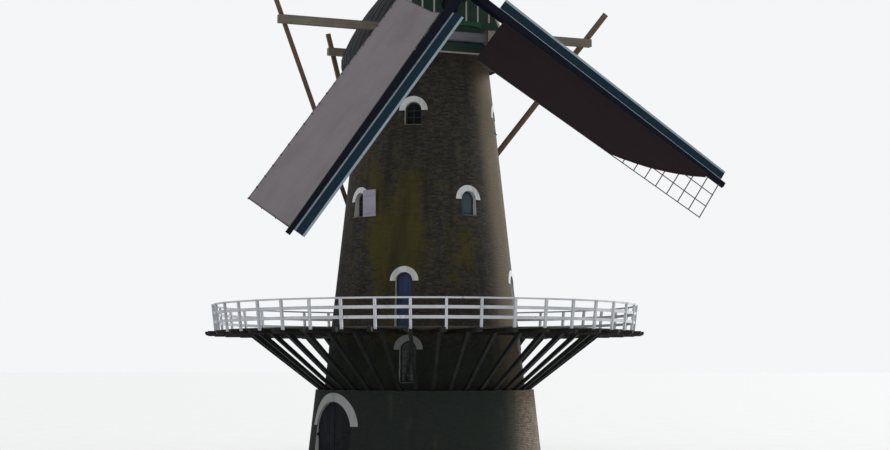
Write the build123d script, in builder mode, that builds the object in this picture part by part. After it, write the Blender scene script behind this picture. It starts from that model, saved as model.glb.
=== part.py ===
from build123d import *
import os
from math import asin, atan2, cos, degrees, hypot, radians, sin, tan

os.makedirs("parts", exist_ok=True)

# A round brick tower mill with a gallery, millimetres, +Z up, facing -Y.
# The origin is on the tower's axis at ground level.
# Bearings are polar angles about +Z, counted from +X.

# Clearances
SEAT = 0.3
RUNNING = 8

# Brick tower
TOWER_TOP = 15600
BATTER = 0.11
TOP_INNER_RADIUS = 2000
WALL = 500
LEDGE_TOP = 3020
LEDGE_WIDTH = 330
GALLERY_DOOR_TURN = -122.7
WINDOW_TURN = -119.2
WALL_SPLIT = 170.3

# Floors
GROUND_SLAB = 120
FLOOR_THICKNESS = 120
FLOOR_TOPS = (2850, 5265, 8600, 12000)

# Ground door
DOOR_BEARING = -162.7
DOOR_WIDTH = 2270
DOOR_SPRING = 1475
LEAF_THICKNESS = 60
LEAF_GAP = 20
LEAF_FACE = 4150
HINGE_OFFSET = 50
HINGE_PIN = 14
EYE_RADIUS = 30
STRAP_LENGTH = 700
STRAP_HEIGHT = 70
STRAP_THICKNESS = 12
STRAP_LEVELS = (350, 1400)

# Windows and gallery doors
OPENING_WIDTH = 640
BAND_WIDTH = 220
BAND_THICKNESS = 20
DOOR_BAND_WIDTH = 320
DOOR_BAND_FOOT = 1720
GALLERY_DOOR_SPRING = 1785
LOW_SILL = 3300
LOW_SPRING = 1220
MID_SILL = 9510
MID_SPRING = 630
MID_BEARINGS = (-162.7, -77.7, 17.3, 102.3)
TOP_SILL = 12930
TOP_SPRING = 580
REVEAL = 160
FRAME_DEPTH = 70
FRAME_FACE = 65
PANE_THICKNESS = 8
SHUTTER_THICKNESS = 30
SHUTTER_HEIGHT = 1010
SHUTTER_GAP = 20

# Gallery
BAYS = 42
FIRST_JOIST = -105.4
DECK_TOP = 5265
DECK_THICKNESS = 45
DECK_MARGIN = 75
BOARD_GAP = 4
JOIST_DEPTH = 150
JOIST_WIDTH = 150
JOIST_OVERHANG = 380
JOIST_CHAMFER = 60
STRUT_WIDTH = 120
STRUT_FOOT = 40
STRUT_FOOT_LENGTH = 190
STRUT_HEAD = 6530
STRUT_HEAD_LENGTH = 250
POST_SIZE = 90
POST_RADIUS = 8060
POST_LEAN = 7
POST_FOOT = 195
RAIL_HEIGHT = 990
RAILS = ((960, 60, 50), (645, 110, 40), (305, 110, 40))

# Cap
CURB_HEIGHT = 150
CAP_RIM = 15700
CAP_SECTIONS = (
    (-2800, 2300, 1850),
    (-1300, 3000, 2100),
    (600, 3130, 1950),
    (2200, 2750, 1550),
    (3300, 2000, 1000),
)
CAP_SKIRT = 350
ROOF_THICKNESS = 90
CAP_BOARD = 50
CAP_PLATE = 80
CAP_RING_HEIGHT = 350
CAP_RING_WIDTH = 550
CAP_HOLE_RADIUS = 1900
BEAM_OFFSET = 1500
BEAM_WIDTH = 360
BEAM_DEPTH = 500
BEAM_FRONT = -3250
BEAM_REAR = 3650
CROSS_BEAM_Y = -3080
CROSS_BEAM_WIDTH = 220
CROSS_BEAM_DEPTH = 310
CROSS_BEAM_RISE = 40
BEARD_HALF = 1250
BEARD_THICKNESS = 50
BEARD_LEVELS = (16720, 16800, 16960)

# Windshaft, bearings and sails
SHAFT_TILT = 13
HUB_FORWARD = 4500
HUB_HEIGHT = 17900
NECK_RADIUS = 290
TAIL_RADIUS = 190
NECK_Y = -2350
NECK_BEAM_WIDTH = 450
NECK_BEAM_HALF = 1650
NECK_BEAM_SHOULDER = 350
NECK_BLOCK_HALF = 700
TAIL_BEARING_Y = 1500
TAIL_BEAM_WIDTH = 350
SHAFT_STEP = 250
SHAFT_END = 300
POLL_SIZE = 660
POLL_LENGTH = 1000
STOCK_SPACING = 480
SAIL_LENGTH = 12300
STOCK_ROOT = (330, 300)
STOCK_TIP = (190, 150)
FIRST_SAIL = 53.5
BAR_START = 2000
BAR_END = 12100
BAR_PITCH = 505
BAR_SIZE = 36
LATTICE_WIDTH = 1750
LATH_PLACES = (610, 1180, 1730)
LATH_SIZE = 30
ROOT_WEATHER = 20
TIP_WEATHER = 2
LEADING_WIDTH = 430
LEADING_THICKNESS = 25
LEADING_START = 1500
CLOTH_THICKNESS = 12
CLOTH_GAP = 1.6
CLOTH_START = 1900
CLOTH_INSET = 15
CLOTH_STEPS = 4
REEF = ((7900, 1750), (9800, 1140), (11500, 200))

# Spreaders, braces and tail pole
LONG_SPREADER_Y = -1700
LONG_SPREADER_HALF = 6400
SHORT_SPREADER_Y = 3450
SHORT_SPREADER_HALF = 3000
SPREADER_WIDTH = 260
SPREADER_DEPTH = 300
BRACE_SIZE = 170
BRACE_END = 250
LONG_BRACE_RISE = 1100
SHORT_BRACE_RISE = 750
TAIL_TOP = (3760, 17150)
TAIL_FOOT = (5450, 5900)
TAIL_SIZE = 300
LONG_BRACE_FOOT = 6760
SHORT_BRACE_FOOT = 8300
WINCH_LEVEL = 6200
WINCH_REACH = 420
WINCH_CHEEK = 60
WINCH_CHEEK_DEPTH = 300
WINCH_DRUM_RADIUS = 110
WINCH_WHEEL_RADIUS = 560
WINCH_WHEEL_RIM = 60
WINCH_SPOKES = 8
WINCH_SPOKE = 50


# Shared shapes and places
def inner_radius(z):
    return TOP_INNER_RADIUS + BATTER * (TOWER_TOP - z)


def outer_radius(z):
    return inner_radius(z) + WALL


def base_radius(z):
    return outer_radius(z) + LEDGE_WIDTH


def radial_plane(bearing):
    a = radians(bearing)
    return Plane(origin=(0, 0, 0), x_dir=(cos(a), sin(a), 0), z_dir=(sin(a), -cos(a), 0))


def facing_plane(bearing, distance, height):
    a = radians(bearing)
    place = (distance * cos(a), distance * sin(a), height)
    return Plane(origin=place, x_dir=(-sin(a), cos(a), 0), z_dir=(cos(a), sin(a), 0))


def save(part, name):
    part.label = name
    export_step(part, f"parts/{name}.step")


def arch_face(width, spring):
    Rectangle(width, spring, align=(Align.CENTER, Align.MIN))
    with Locations((0, spring)):
        Circle(width / 2)


def ring_segment(profile, start, arc):
    with BuildPart() as segment:
        with BuildSketch(radial_plane(start)):
            with BuildLine():
                Polyline(*profile, close=True)
            make_face()
        revolve(axis=Axis.Z, revolution_arc=arc)
    return segment.part


# Every opening above the ground: bearing, sill height, spring above the sill
DOOR_BEARINGS = tuple(GALLERY_DOOR_TURN + 90 * k for k in range(4))
WINDOW_BEARINGS = tuple(WINDOW_TURN + 90 * k for k in range(4))
GALLERY_DOORS = tuple((b, DECK_TOP, GALLERY_DOOR_SPRING) for b in DOOR_BEARINGS)
LOW_WINDOWS = tuple((b, LOW_SILL, LOW_SPRING) for b in WINDOW_BEARINGS)
TOP_WINDOWS = tuple((b, TOP_SILL, TOP_SPRING) for b in WINDOW_BEARINGS)
MID_WINDOWS = tuple((b, MID_SILL, MID_SPRING) for b in MID_BEARINGS)
WINDOWS = LOW_WINDOWS + MID_WINDOWS + TOP_WINDOWS
OPENINGS = GALLERY_DOORS + WINDOWS

# Ground slab, which carries the floor inside the wall
with BuildPart() as ground_floor:
    Cylinder(inner_radius(GROUND_SLAB) - SEAT, GROUND_SLAB, align=(Align.CENTER, Align.CENTER, Align.MIN))
save(ground_floor.part, "ground_floor")

# Base wall up to the ledge, in quarters set square to the ground door
BASE_PROFILE = (
    (inner_radius(0), 0),
    (base_radius(0), 0),
    (base_radius(LEDGE_TOP), LEDGE_TOP),
    (inner_radius(LEDGE_TOP), LEDGE_TOP),
)
base_names = ("base_wall_front", "base_wall_right", "base_wall_back")
for k, name in enumerate(base_names):
    with BuildPart() as base_quarter:
        add(ring_segment(BASE_PROFILE, DOOR_BEARING + 45 + 90 * k, 90))
    save(base_quarter.part, name)

# The door quarter is split at the jambs, beside and over the doorway
half_door = DOOR_WIDTH / 2
door_side = facing_plane(DOOR_BEARING, 0, 0)
for name, side in (("base_wall_left_of_door", -1), ("base_wall_right_of_door", 1)):
    with BuildPart() as door_quarter:
        add(ring_segment(BASE_PROFILE, DOOR_BEARING - 45, 90))
        split(bisect_by=Plane(
            origin=door_side.origin + door_side.x_dir * half_door * side,
            x_dir=door_side.z_dir,
            z_dir=door_side.x_dir * side,
        ), keep=Keep.TOP)
    save(door_quarter.part, name)

with BuildPart() as base_wall_over_door:
    add(ring_segment(BASE_PROFILE, DOOR_BEARING - 45, 90))
    with BuildSketch(facing_plane(DOOR_BEARING, 0, 0)):
        with Locations((0, DOOR_SPRING)):
            Rectangle(DOOR_WIDTH, LEDGE_TOP, align=(Align.CENTER, Align.MIN))
            Circle(half_door, mode=Mode.SUBTRACT)
    extrude(amount=2 * base_radius(0), mode=Mode.INTERSECT)
save(base_wall_over_door.part, "base_wall_over_door")

# Tower wall above the ledge, in quarters, with every opening cut through
WALL_PROFILE = (
    (inner_radius(LEDGE_TOP), LEDGE_TOP),
    (outer_radius(LEDGE_TOP), LEDGE_TOP),
    (outer_radius(TOWER_TOP), TOWER_TOP),
    (inner_radius(TOWER_TOP), TOWER_TOP),
)
wall_names = ("tower_wall_left", "tower_wall_front", "tower_wall_right", "tower_wall_back")
for k, name in enumerate(wall_names):
    start = WALL_SPLIT + 90 * k
    with BuildPart() as wall_quarter:
        add(ring_segment(WALL_PROFILE, start, 90))
        for bearing, sill, spring in OPENINGS:
            if (bearing - start) % 360 < 90:
                with BuildSketch(facing_plane(bearing, TOP_INNER_RADIUS / 2, sill)):
                    arch_face(OPENING_WIDTH, spring)
                extrude(amount=base_radius(0), mode=Mode.SUBTRACT)
    save(wall_quarter.part, name)

# Wooden floors inside, one disc a storey
with BuildPart() as floors:
    for top in FLOOR_TOPS:
        with BuildSketch(Plane.XY.offset(top - FLOOR_THICKNESS)):
            Circle(inner_radius(top) - SEAT)
        extrude(amount=FLOOR_THICKNESS)
save(floors.part, "floors")

# Curb ring that the cap turns on
with BuildPart() as curb_ring:
    with BuildSketch(Plane.XY.offset(TOWER_TOP)):
        Circle(outer_radius(TOWER_TOP))
        Circle(inner_radius(TOWER_TOP), mode=Mode.SUBTRACT)
    extrude(amount=CURB_HEIGHT)
save(curb_ring.part, "curb_ring")


# White arch bands that stand a little proud of the brick
def arch_band(bearing, spring_level, foot, opening, band, radius_at):
    top = spring_level + opening / 2 + band
    shell = (
        (radius_at(foot) + SEAT, foot),
        (radius_at(foot) + BAND_THICKNESS, foot),
        (radius_at(top) + BAND_THICKNESS, top),
        (radius_at(top) + SEAT, top),
    )
    with BuildPart() as band_piece:
        add(ring_segment(shell, bearing - 45, 90))
        with BuildSketch(facing_plane(bearing, 0, spring_level)):
            Circle(opening / 2 + band)
            Circle(opening / 2, mode=Mode.SUBTRACT)
        extrude(amount=2 * base_radius(0), mode=Mode.INTERSECT)
    return band_piece.part


with BuildPart() as arch_bands:
    add(arch_band(DOOR_BEARING, DOOR_SPRING, DOOR_BAND_FOOT, DOOR_WIDTH, DOOR_BAND_WIDTH, base_radius))
    for bearing, sill, spring in OPENINGS:
        level = sill + spring
        add(arch_band(bearing, level, level, OPENING_WIDTH, BAND_WIDTH, outer_radius))
save(arch_bands.part, "arch_bands")


# Frames, panes and fixed doors, set back in their openings
def frame_place(bearing, sill, spring):
    top = sill + spring + OPENING_WIDTH / 2
    return facing_plane(bearing, outer_radius(top) - REVEAL - FRAME_DEPTH, sill)


with BuildPart() as window_frames:
    for bearing, sill, spring in OPENINGS:
        with BuildSketch(frame_place(bearing, sill, spring)):
            arch_face(OPENING_WIDTH - 2 * SEAT, spring)
            with Locations((0, FRAME_FACE)):
                Rectangle(OPENING_WIDTH - 2 * FRAME_FACE, spring - FRAME_FACE,
                          align=(Align.CENTER, Align.MIN), mode=Mode.SUBTRACT)
            with Locations((0, spring)):
                Circle(OPENING_WIDTH / 2 - FRAME_FACE, mode=Mode.SUBTRACT)
        extrude(amount=FRAME_DEPTH)
save(window_frames.part, "window_frames")


def infill(openings, thickness):
    with BuildPart() as filling:
        for bearing, sill, spring in openings:
            plane = frame_place(bearing, sill, spring).offset((FRAME_DEPTH - thickness) / 2)
            with BuildSketch(plane):
                with Locations((0, FRAME_FACE + SEAT)):
                    Rectangle(OPENING_WIDTH - 2 * (FRAME_FACE + SEAT), spring - FRAME_FACE - SEAT,
                              align=(Align.CENTER, Align.MIN))
                with Locations((0, spring)):
                    Circle(OPENING_WIDTH / 2 - FRAME_FACE - SEAT)
            extrude(amount=thickness)
    return filling.part


SHUT_WINDOW = MID_WINDOWS[1]
with BuildPart() as window_panes:
    add(infill([w for w in WINDOWS if w != SHUT_WINDOW], PANE_THICKNESS))
save(window_panes.part, "window_panes")

with BuildPart() as gallery_doors:
    add(infill(GALLERY_DOORS, LEAF_THICKNESS - 2 * SEAT))
save(gallery_doors.part, "gallery_doors")

# Shutters: one mid window is shut, the one over the ground door is folded back flat
open_bearing = MID_WINDOWS[0][0]
shutter_radius = outer_radius(MID_SILL)
shutter_step = degrees(asin((OPENING_WIDTH + SHUTTER_GAP) / shutter_radius))
with BuildPart() as shutters:
    add(infill([SHUT_WINDOW], SHUTTER_THICKNESS))
    with BuildSketch(facing_plane(open_bearing + shutter_step, shutter_radius + SEAT, MID_SILL)):
        Rectangle(OPENING_WIDTH, SHUTTER_HEIGHT, align=(Align.CENTER, Align.MIN))
    extrude(amount=SHUTTER_THICKNESS)
save(shutters.part, "shutters")

# Gallery joists, one under every post, cut to the lean of the wall
joist_top = DECK_TOP - DECK_THICKNESS
joist_bottom = joist_top - JOIST_DEPTH
joist_end = POST_RADIUS + JOIST_OVERHANG
with BuildPart() as joist:
    with BuildSketch(radial_plane(0)):
        with BuildLine():
            Polyline(
                (outer_radius(joist_bottom) + SEAT, joist_bottom),
                (joist_end - JOIST_CHAMFER, joist_bottom),
                (joist_end, joist_bottom + JOIST_CHAMFER),
                (joist_end, joist_top),
                (outer_radius(joist_top) + SEAT, joist_top),
                close=True,
            )
        make_face()
    extrude(amount=JOIST_WIDTH / 2, both=True)
with BuildPart() as gallery_joists:
    with PolarLocations(0, BAYS, start_angle=FIRST_JOIST):
        add(joist.part)
save(gallery_joists.part, "gallery_joists")

# Struts from the ledge to the joists
strut_foot = outer_radius(LEDGE_TOP) + STRUT_FOOT
with BuildPart() as strut:
    with BuildSketch(radial_plane(0)):
        with BuildLine():
            Polyline(
                (strut_foot, LEDGE_TOP),
                (strut_foot + STRUT_FOOT_LENGTH, LEDGE_TOP),
                (STRUT_HEAD + STRUT_HEAD_LENGTH, joist_bottom),
                (STRUT_HEAD, joist_bottom),
                close=True,
            )
        make_face()
    extrude(amount=STRUT_WIDTH / 2, both=True)
with BuildPart() as gallery_struts:
    with PolarLocations(0, BAYS, start_angle=FIRST_JOIST):
        add(strut.part)
save(gallery_struts.part, "gallery_struts")

# Deck, one straight panel a bay
half_bay = tan(radians(180 / BAYS))
deck_inner = outer_radius(joist_top) + SEAT
deck_edge = POST_RADIUS - DECK_MARGIN
side_in = deck_inner * half_bay - BOARD_GAP / 2
side_out = deck_edge * half_bay - BOARD_GAP / 2
with BuildPart() as deck_panel:
    with BuildSketch(Plane.XY.offset(joist_top)):
        with BuildLine():
            Polyline(
                (deck_inner, -side_in),
                (deck_edge, -side_out),
                (deck_edge, side_out),
                (deck_inner, side_in),
                close=True,
            )
        make_face()
    extrude(amount=DECK_THICKNESS)
with BuildPart() as gallery_deck:
    with PolarLocations(0, BAYS, start_angle=FIRST_JOIST + 180 / BAYS):
        add(deck_panel.part)
save(gallery_deck.part, "gallery_deck")


# Railing: a leaning post at each joist's side, with the rails to the next post
def railing_bay():
    lean = tan(radians(POST_LEAN))
    aside = JOIST_WIDTH / 2 + POST_SIZE / 2 + SEAT
    depth = POST_SIZE / 2 / cos(radians(POST_LEAN))
    foot = DECK_TOP - POST_FOOT
    head = DECK_TOP + RAIL_HEIGHT
    foot_radius = POST_RADIUS - POST_FOOT * lean
    head_radius = POST_RADIUS + RAIL_HEIGHT * lean
    with BuildPart() as bay:
        with BuildSketch(radial_plane(0).offset(-aside)):
            with BuildLine():
                Polyline(
                    (foot_radius - depth, foot),
                    (foot_radius + depth, foot),
                    (head_radius + depth, head),
                    (head_radius - depth, head),
                    close=True,
                )
            make_face()
        extrude(amount=POST_SIZE / 2, both=True)
        for level, tall, thick in RAILS:
            radius = hypot(POST_RADIUS + level * lean, aside)
            turn = degrees(atan2(aside, POST_RADIUS + level * lean))
            chord = 2 * radius * sin(radians(180 / BAYS))
            middle = radius * cos(radians(180 / BAYS))
            skew = thick / 2 * tan(radians(180 / BAYS))
            clear = POST_SIZE / 2 / cos(radians(180 / BAYS)) + skew + 2 * SEAT
            plane = facing_plane(turn + 180 / BAYS, middle - thick / 2, DECK_TOP + level)
            with BuildSketch(plane):
                with Locations((-clear / 2, 0)):
                    Rectangle(chord - clear, tall)
            extrude(amount=thick)
    return bay.part


with BuildPart() as gallery_railing:
    with PolarLocations(0, BAYS, start_angle=FIRST_JOIST):
        add(railing_bay())
save(gallery_railing.part, "gallery_railing")


# Ground door: two arched leaves on pintles, which open outward
hinge_across = half_door - EYE_RADIUS - RUNNING
hinge_out = LEAF_FACE + HINGE_OFFSET


def door_plane(out, height=0):
    return facing_plane(DOOR_BEARING, out, height)


def door_leaf(side):
    with BuildPart() as leaf:
        with BuildSketch(door_plane(LEAF_FACE - LEAF_THICKNESS, GROUND_SLAB + LEAF_GAP)):
            Rectangle(2 * (half_door - LEAF_GAP), DOOR_SPRING - GROUND_SLAB - LEAF_GAP,
                      align=(Align.CENTER, Align.MIN))
            with Locations((0, DOOR_SPRING - GROUND_SLAB - LEAF_GAP)):
                Circle(half_door - LEAF_GAP)
            with Locations((side * (half_door + LEAF_GAP / 2), 0)):
                Rectangle(2 * half_door, 4 * DOOR_WIDTH, mode=Mode.INTERSECT)
        extrude(amount=LEAF_THICKNESS)
        for level in STRAP_LEVELS:
            place = side * (hinge_across - STRAP_LENGTH / 2)
            with BuildSketch(door_plane(LEAF_FACE, level)):
                with Locations((place, 0)):
                    Rectangle(STRAP_LENGTH, STRAP_HEIGHT)
            extrude(amount=STRAP_THICKNESS)
            with BuildSketch(door_plane(LEAF_FACE, level)):
                with Locations((side * (hinge_across - EYE_RADIUS / 2), 0)):
                    Rectangle(EYE_RADIUS, STRAP_HEIGHT)
            extrude(amount=HINGE_OFFSET)
            with BuildSketch(Plane(origin=door_plane(hinge_out, level - STRAP_HEIGHT / 2).origin,
                                   x_dir=door_side.x_dir, z_dir=(0, 0, 1))):
                with Locations((side * hinge_across, 0)):
                    Circle(EYE_RADIUS)
            extrude(amount=STRAP_HEIGHT)
            with BuildSketch(Plane(origin=door_plane(hinge_out, level - STRAP_HEIGHT).origin,
                                   x_dir=door_side.x_dir, z_dir=(0, 0, 1))):
                with Locations((side * hinge_across, 0)):
                    Circle(HINGE_PIN + SEAT)
            extrude(amount=2 * STRAP_HEIGHT, mode=Mode.SUBTRACT)
    return leaf.part


with BuildPart() as door_leaf_left:
    add(door_leaf(-1))
save(door_leaf_left.part, "door_leaf_left")

with BuildPart() as door_leaf_right:
    add(door_leaf(1))
save(door_leaf_right.part, "door_leaf_right")

# Pintles built into the jambs, with a pin up through each eye
with BuildPart() as door_pintles:
    for side in (-1, 1):
        for level in STRAP_LEVELS:
            low = level - STRAP_HEIGHT / 2 - RUNNING - STRAP_HEIGHT / 2
            with BuildSketch(Plane(origin=door_plane(hinge_out, low).origin,
                                   x_dir=door_side.x_dir, z_dir=(0, 0, 1))):
                with Locations((side * hinge_across, 0)):
                    Circle(EYE_RADIUS)
                with Locations((side * (half_door - SEAT - EYE_RADIUS), 0)):
                    Rectangle(2 * EYE_RADIUS, EYE_RADIUS)
            extrude(amount=STRAP_HEIGHT / 2)
            with BuildSketch(Plane(origin=door_plane(hinge_out, low).origin,
                                   x_dir=door_side.x_dir, z_dir=(0, 0, 1))):
                with Locations((side * hinge_across, 0)):
                    Circle(HINGE_PIN)
            extrude(amount=STRAP_HEIGHT * 1.5 + RUNNING)
save(door_pintles.part, "door_pintles")


# Cap roof: pointed arches that swell and shrink from front to rear
def cap_section(y, half, height, inset):
    w = half - inset
    h = height - inset * 1.3
    with BuildSketch(Plane(origin=(0, y, CAP_RIM), x_dir=(1, 0, 0), z_dir=(0, -1, 0))) as section:
        with BuildLine():
            Line((-w, 0), (w, 0))
            Line((w, 0), (w, CAP_SKIRT))
            ThreePointArc((w, CAP_SKIRT), (0.76 * w, 0.44 * h), (0, h))
            ThreePointArc((0, h), (-0.76 * w, 0.44 * h), (-w, CAP_SKIRT))
            Line((-w, CAP_SKIRT), (-w, 0))
        make_face()
    return section.sketch


def cap_hull(inset, stretch):
    sections = []
    for y, half, rise in CAP_SECTIONS:
        place = y
        if y == cap_front:
            place = y - stretch
        if y == cap_rear:
            place = y + stretch
        sections.append(cap_section(place, half, HUB_HEIGHT + rise - CAP_RIM, inset))
    with BuildPart() as hull:
        loft(sections=sections)
    return hull.part


def shaft_height(y):
    return HUB_HEIGHT - (y + HUB_FORWARD) * tan(radians(SHAFT_TILT))


cap_front = CAP_SECTIONS[0][0]
cap_rear = CAP_SECTIONS[-1][0]
plate_bottom = TOWER_TOP + CURB_HEIGHT + SEAT
beam_bottom = plate_bottom + CAP_RING_HEIGHT
beam_top = beam_bottom + BEAM_DEPTH
spreader_level = beam_top + SPREADER_DEPTH / 2
beam_inner = BEAM_OFFSET - BEAM_WIDTH / 2
shaft_plane = Plane(
    origin=(0, -HUB_FORWARD, HUB_HEIGHT),
    x_dir=(1, 0, 0),
    z_dir=(0, -cos(radians(SHAFT_TILT)), sin(radians(SHAFT_TILT))),
)


def along_shaft(y):
    return (y + HUB_FORWARD) / cos(radians(SHAFT_TILT))


def shaft_bore(radius):
    """A round rod along the whole shaft, to cut its way through what it passes."""
    with BuildPart() as rod:
        with BuildSketch(shaft_plane):
            Circle(radius)
        extrude(amount=-2 * along_shaft(TAIL_BEARING_Y))
    return rod.part


def spreader(y, half, grow=0):
    with BuildPart() as bar:
        with BuildSketch(Plane.YZ.offset(-half - grow)):
            with Locations((y, spreader_level)):
                Rectangle(SPREADER_WIDTH + 2 * grow, SPREADER_DEPTH + 2 * grow)
        extrude(amount=2 * (half + grow))
    return bar.part


def main_beams(grow=0):
    with BuildPart() as pair:
        with BuildSketch(Plane.XZ.offset(-BEAM_REAR - grow)):
            with Locations(*[(side * BEAM_OFFSET, beam_bottom + BEAM_DEPTH / 2) for side in (-1, 1)]):
                Rectangle(BEAM_WIDTH + 2 * grow, BEAM_DEPTH + 2 * grow)
        extrude(amount=BEAM_REAR - BEAM_FRONT + 2 * grow)
    return pair.part


roof_space = cap_hull(ROOF_THICKNESS, CAP_BOARD)
inside_hull = cap_hull(ROOF_THICKNESS + SEAT, CAP_BOARD)
with BuildPart() as cap_roof:
    add(cap_hull(0, 0))
    add(roof_space, mode=Mode.SUBTRACT)
    add(spreader(LONG_SPREADER_Y, LONG_SPREADER_HALF, SEAT), mode=Mode.SUBTRACT)
save(cap_roof.part, "cap_roof")

# Boarding that closes both ends of the roof
with BuildPart() as cap_front_boarding:
    with BuildSketch(Plane.XZ.offset(-cap_front - CAP_BOARD)):
        with Locations((0, CAP_RIM)):
            Rectangle(4 * HUB_FORWARD, 4 * HUB_FORWARD)
    extrude(amount=CAP_BOARD)
    add(inside_hull, mode=Mode.INTERSECT)
    add(shaft_bore(NECK_RADIUS + 4 * RUNNING), mode=Mode.SUBTRACT)
    add(main_beams(SEAT), mode=Mode.SUBTRACT)
save(cap_front_boarding.part, "cap_front_boarding")

with BuildPart() as cap_rear_boarding:
    with BuildSketch(Plane.XZ.offset(-cap_rear)):
        with Locations((0, CAP_RIM)):
            Rectangle(4 * HUB_FORWARD, 4 * HUB_FORWARD)
    extrude(amount=CAP_BOARD)
    add(inside_hull, mode=Mode.INTERSECT)
    add(main_beams(SEAT), mode=Mode.SUBTRACT)
save(cap_rear_boarding.part, "cap_rear_boarding")

# Base of the cap: a floor out to the roof, with the ring that rides on the curb
with BuildPart() as cap_base:
    with BuildSketch(Plane.XY.offset(plate_bottom)):
        with Locations((0, (cap_front + cap_rear) / 2)):
            Rectangle(4 * HUB_FORWARD, cap_rear - cap_front - 2 * (CAP_BOARD + SEAT))
    extrude(amount=CAP_PLATE)
    add(inside_hull, mode=Mode.INTERSECT)
    with BuildSketch(Plane.XY.offset(plate_bottom)):
        Circle(CAP_HOLE_RADIUS + CAP_RING_WIDTH)
    extrude(amount=CAP_RING_HEIGHT)
    with BuildSketch(Plane.XY.offset(plate_bottom)):
        Circle(CAP_HOLE_RADIUS)
    extrude(amount=CAP_RING_HEIGHT, mode=Mode.SUBTRACT)
save(cap_base.part, "cap_base")

# The two long beams of the cap frame, and the short one between their front ends
with BuildPart() as cap_beams:
    add(main_beams())
    with BuildSketch(Plane.YZ.offset(-beam_inner + SEAT)):
        with Locations((CROSS_BEAM_Y, beam_bottom + CROSS_BEAM_RISE)):
            Rectangle(CROSS_BEAM_WIDTH, CROSS_BEAM_DEPTH, align=(Align.CENTER, Align.MIN))
    extrude(amount=2 * (beam_inner - SEAT))
save(cap_beams.part, "cap_beams")

# Beard board under the windshaft, with two shallow curves along its lower edge
with BuildPart() as beard_board:
    tip, spring, top = BEARD_LEVELS
    with BuildSketch(Plane.XZ.offset(-cap_front + SEAT)):
        with BuildLine():
            ThreePointArc((-BEARD_HALF, tip), (-BEARD_HALF / 2, spring), (0, tip))
            ThreePointArc((0, tip), (BEARD_HALF / 2, spring), (BEARD_HALF, tip))
            Polyline((BEARD_HALF, tip), (BEARD_HALF, top), (-BEARD_HALF, top), (-BEARD_HALF, tip))
        make_face()
    extrude(amount=BEARD_THICKNESS)
save(beard_board.part, "beard_board")

# Neck beam across the front, with its bearing
with BuildPart() as neck_beam:
    with BuildSketch(Plane.XZ.offset(-NECK_Y - NECK_BEAM_WIDTH / 2)):
        with BuildLine():
            Polyline(
                (-NECK_BEAM_HALF, beam_top),
                (NECK_BEAM_HALF, beam_top),
                (NECK_BEAM_HALF, beam_top + NECK_BEAM_SHOULDER),
                (NECK_BLOCK_HALF, shaft_height(NECK_Y)),
                (-NECK_BLOCK_HALF, shaft_height(NECK_Y)),
                (-NECK_BEAM_HALF, beam_top + NECK_BEAM_SHOULDER),
                close=True,
            )
        make_face()
    extrude(amount=NECK_BEAM_WIDTH)
    add(shaft_bore(NECK_RADIUS + SEAT), mode=Mode.SUBTRACT)
save(neck_beam.part, "neck_beam")

# Tail bearing beam between the long beams
with BuildPart() as tail_bearing_beam:
    with BuildSketch(Plane.XZ.offset(-TAIL_BEARING_Y - TAIL_BEAM_WIDTH / 2)):
        with Locations((0, beam_bottom)):
            Rectangle(2 * beam_inner, shaft_height(TAIL_BEARING_Y) - beam_bottom,
                      align=(Align.CENTER, Align.MIN))
    extrude(amount=TAIL_BEAM_WIDTH)
    add(shaft_bore(TAIL_RADIUS + SEAT), mode=Mode.SUBTRACT)
save(tail_bearing_beam.part, "tail_bearing_beam")

# Spreaders across the cap
with BuildPart() as long_spreader:
    add(spreader(LONG_SPREADER_Y, LONG_SPREADER_HALF))
save(long_spreader.part, "long_spreader")

with BuildPart() as short_spreader:
    add(spreader(SHORT_SPREADER_Y, SHORT_SPREADER_HALF))
save(short_spreader.part, "short_spreader")


# Slanting timbers: the tail pole and the braces that end on it
def timber(start, end, size, across):
    run = Vector(end) - Vector(start)
    with BuildPart() as beam:
        with BuildSketch(Plane(origin=start, x_dir=across, z_dir=run)):
            Rectangle(size, size)
        extrude(amount=run.length)
    return beam.part


def tail_depth(level):
    share = (TAIL_TOP[1] - level) / (TAIL_TOP[1] - TAIL_FOOT[1])
    return TAIL_TOP[0] + share * (TAIL_FOOT[0] - TAIL_TOP[0])


def brace(side, spreader_y, half, rise, foot_level):
    """From the tail pole up past the back of a spreader's end."""
    foot = Vector(side * BRACE_SIZE / 2, tail_depth(foot_level), foot_level)
    crossing = Vector(
        side * (half - BRACE_END),
        spreader_y + SPREADER_WIDTH / 2 + BRACE_SIZE / 3,
        spreader_level,
    )
    run = crossing - foot
    end = crossing + run * (rise / run.Z)
    return timber(foot, end, BRACE_SIZE, (0, -run.Z, run.Y))


pole_ends = ((0, *TAIL_FOOT), (0, *TAIL_TOP))
with BuildPart() as tail_pole:
    add(timber(*pole_ends, TAIL_SIZE, (1, 0, 0)))
    add(spreader(SHORT_SPREADER_Y, SHORT_SPREADER_HALF, SEAT), mode=Mode.SUBTRACT)
save(tail_pole.part, "tail_pole")

with BuildPart() as long_braces:
    for side in (-1, 1):
        add(brace(side, LONG_SPREADER_Y, LONG_SPREADER_HALF, LONG_BRACE_RISE, LONG_BRACE_FOOT))
    add(timber(*pole_ends, TAIL_SIZE + 2 * SEAT, (1, 0, 0)), mode=Mode.SUBTRACT)
    add(spreader(LONG_SPREADER_Y, LONG_SPREADER_HALF, SEAT), mode=Mode.SUBTRACT)
save(long_braces.part, "long_braces")

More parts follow.
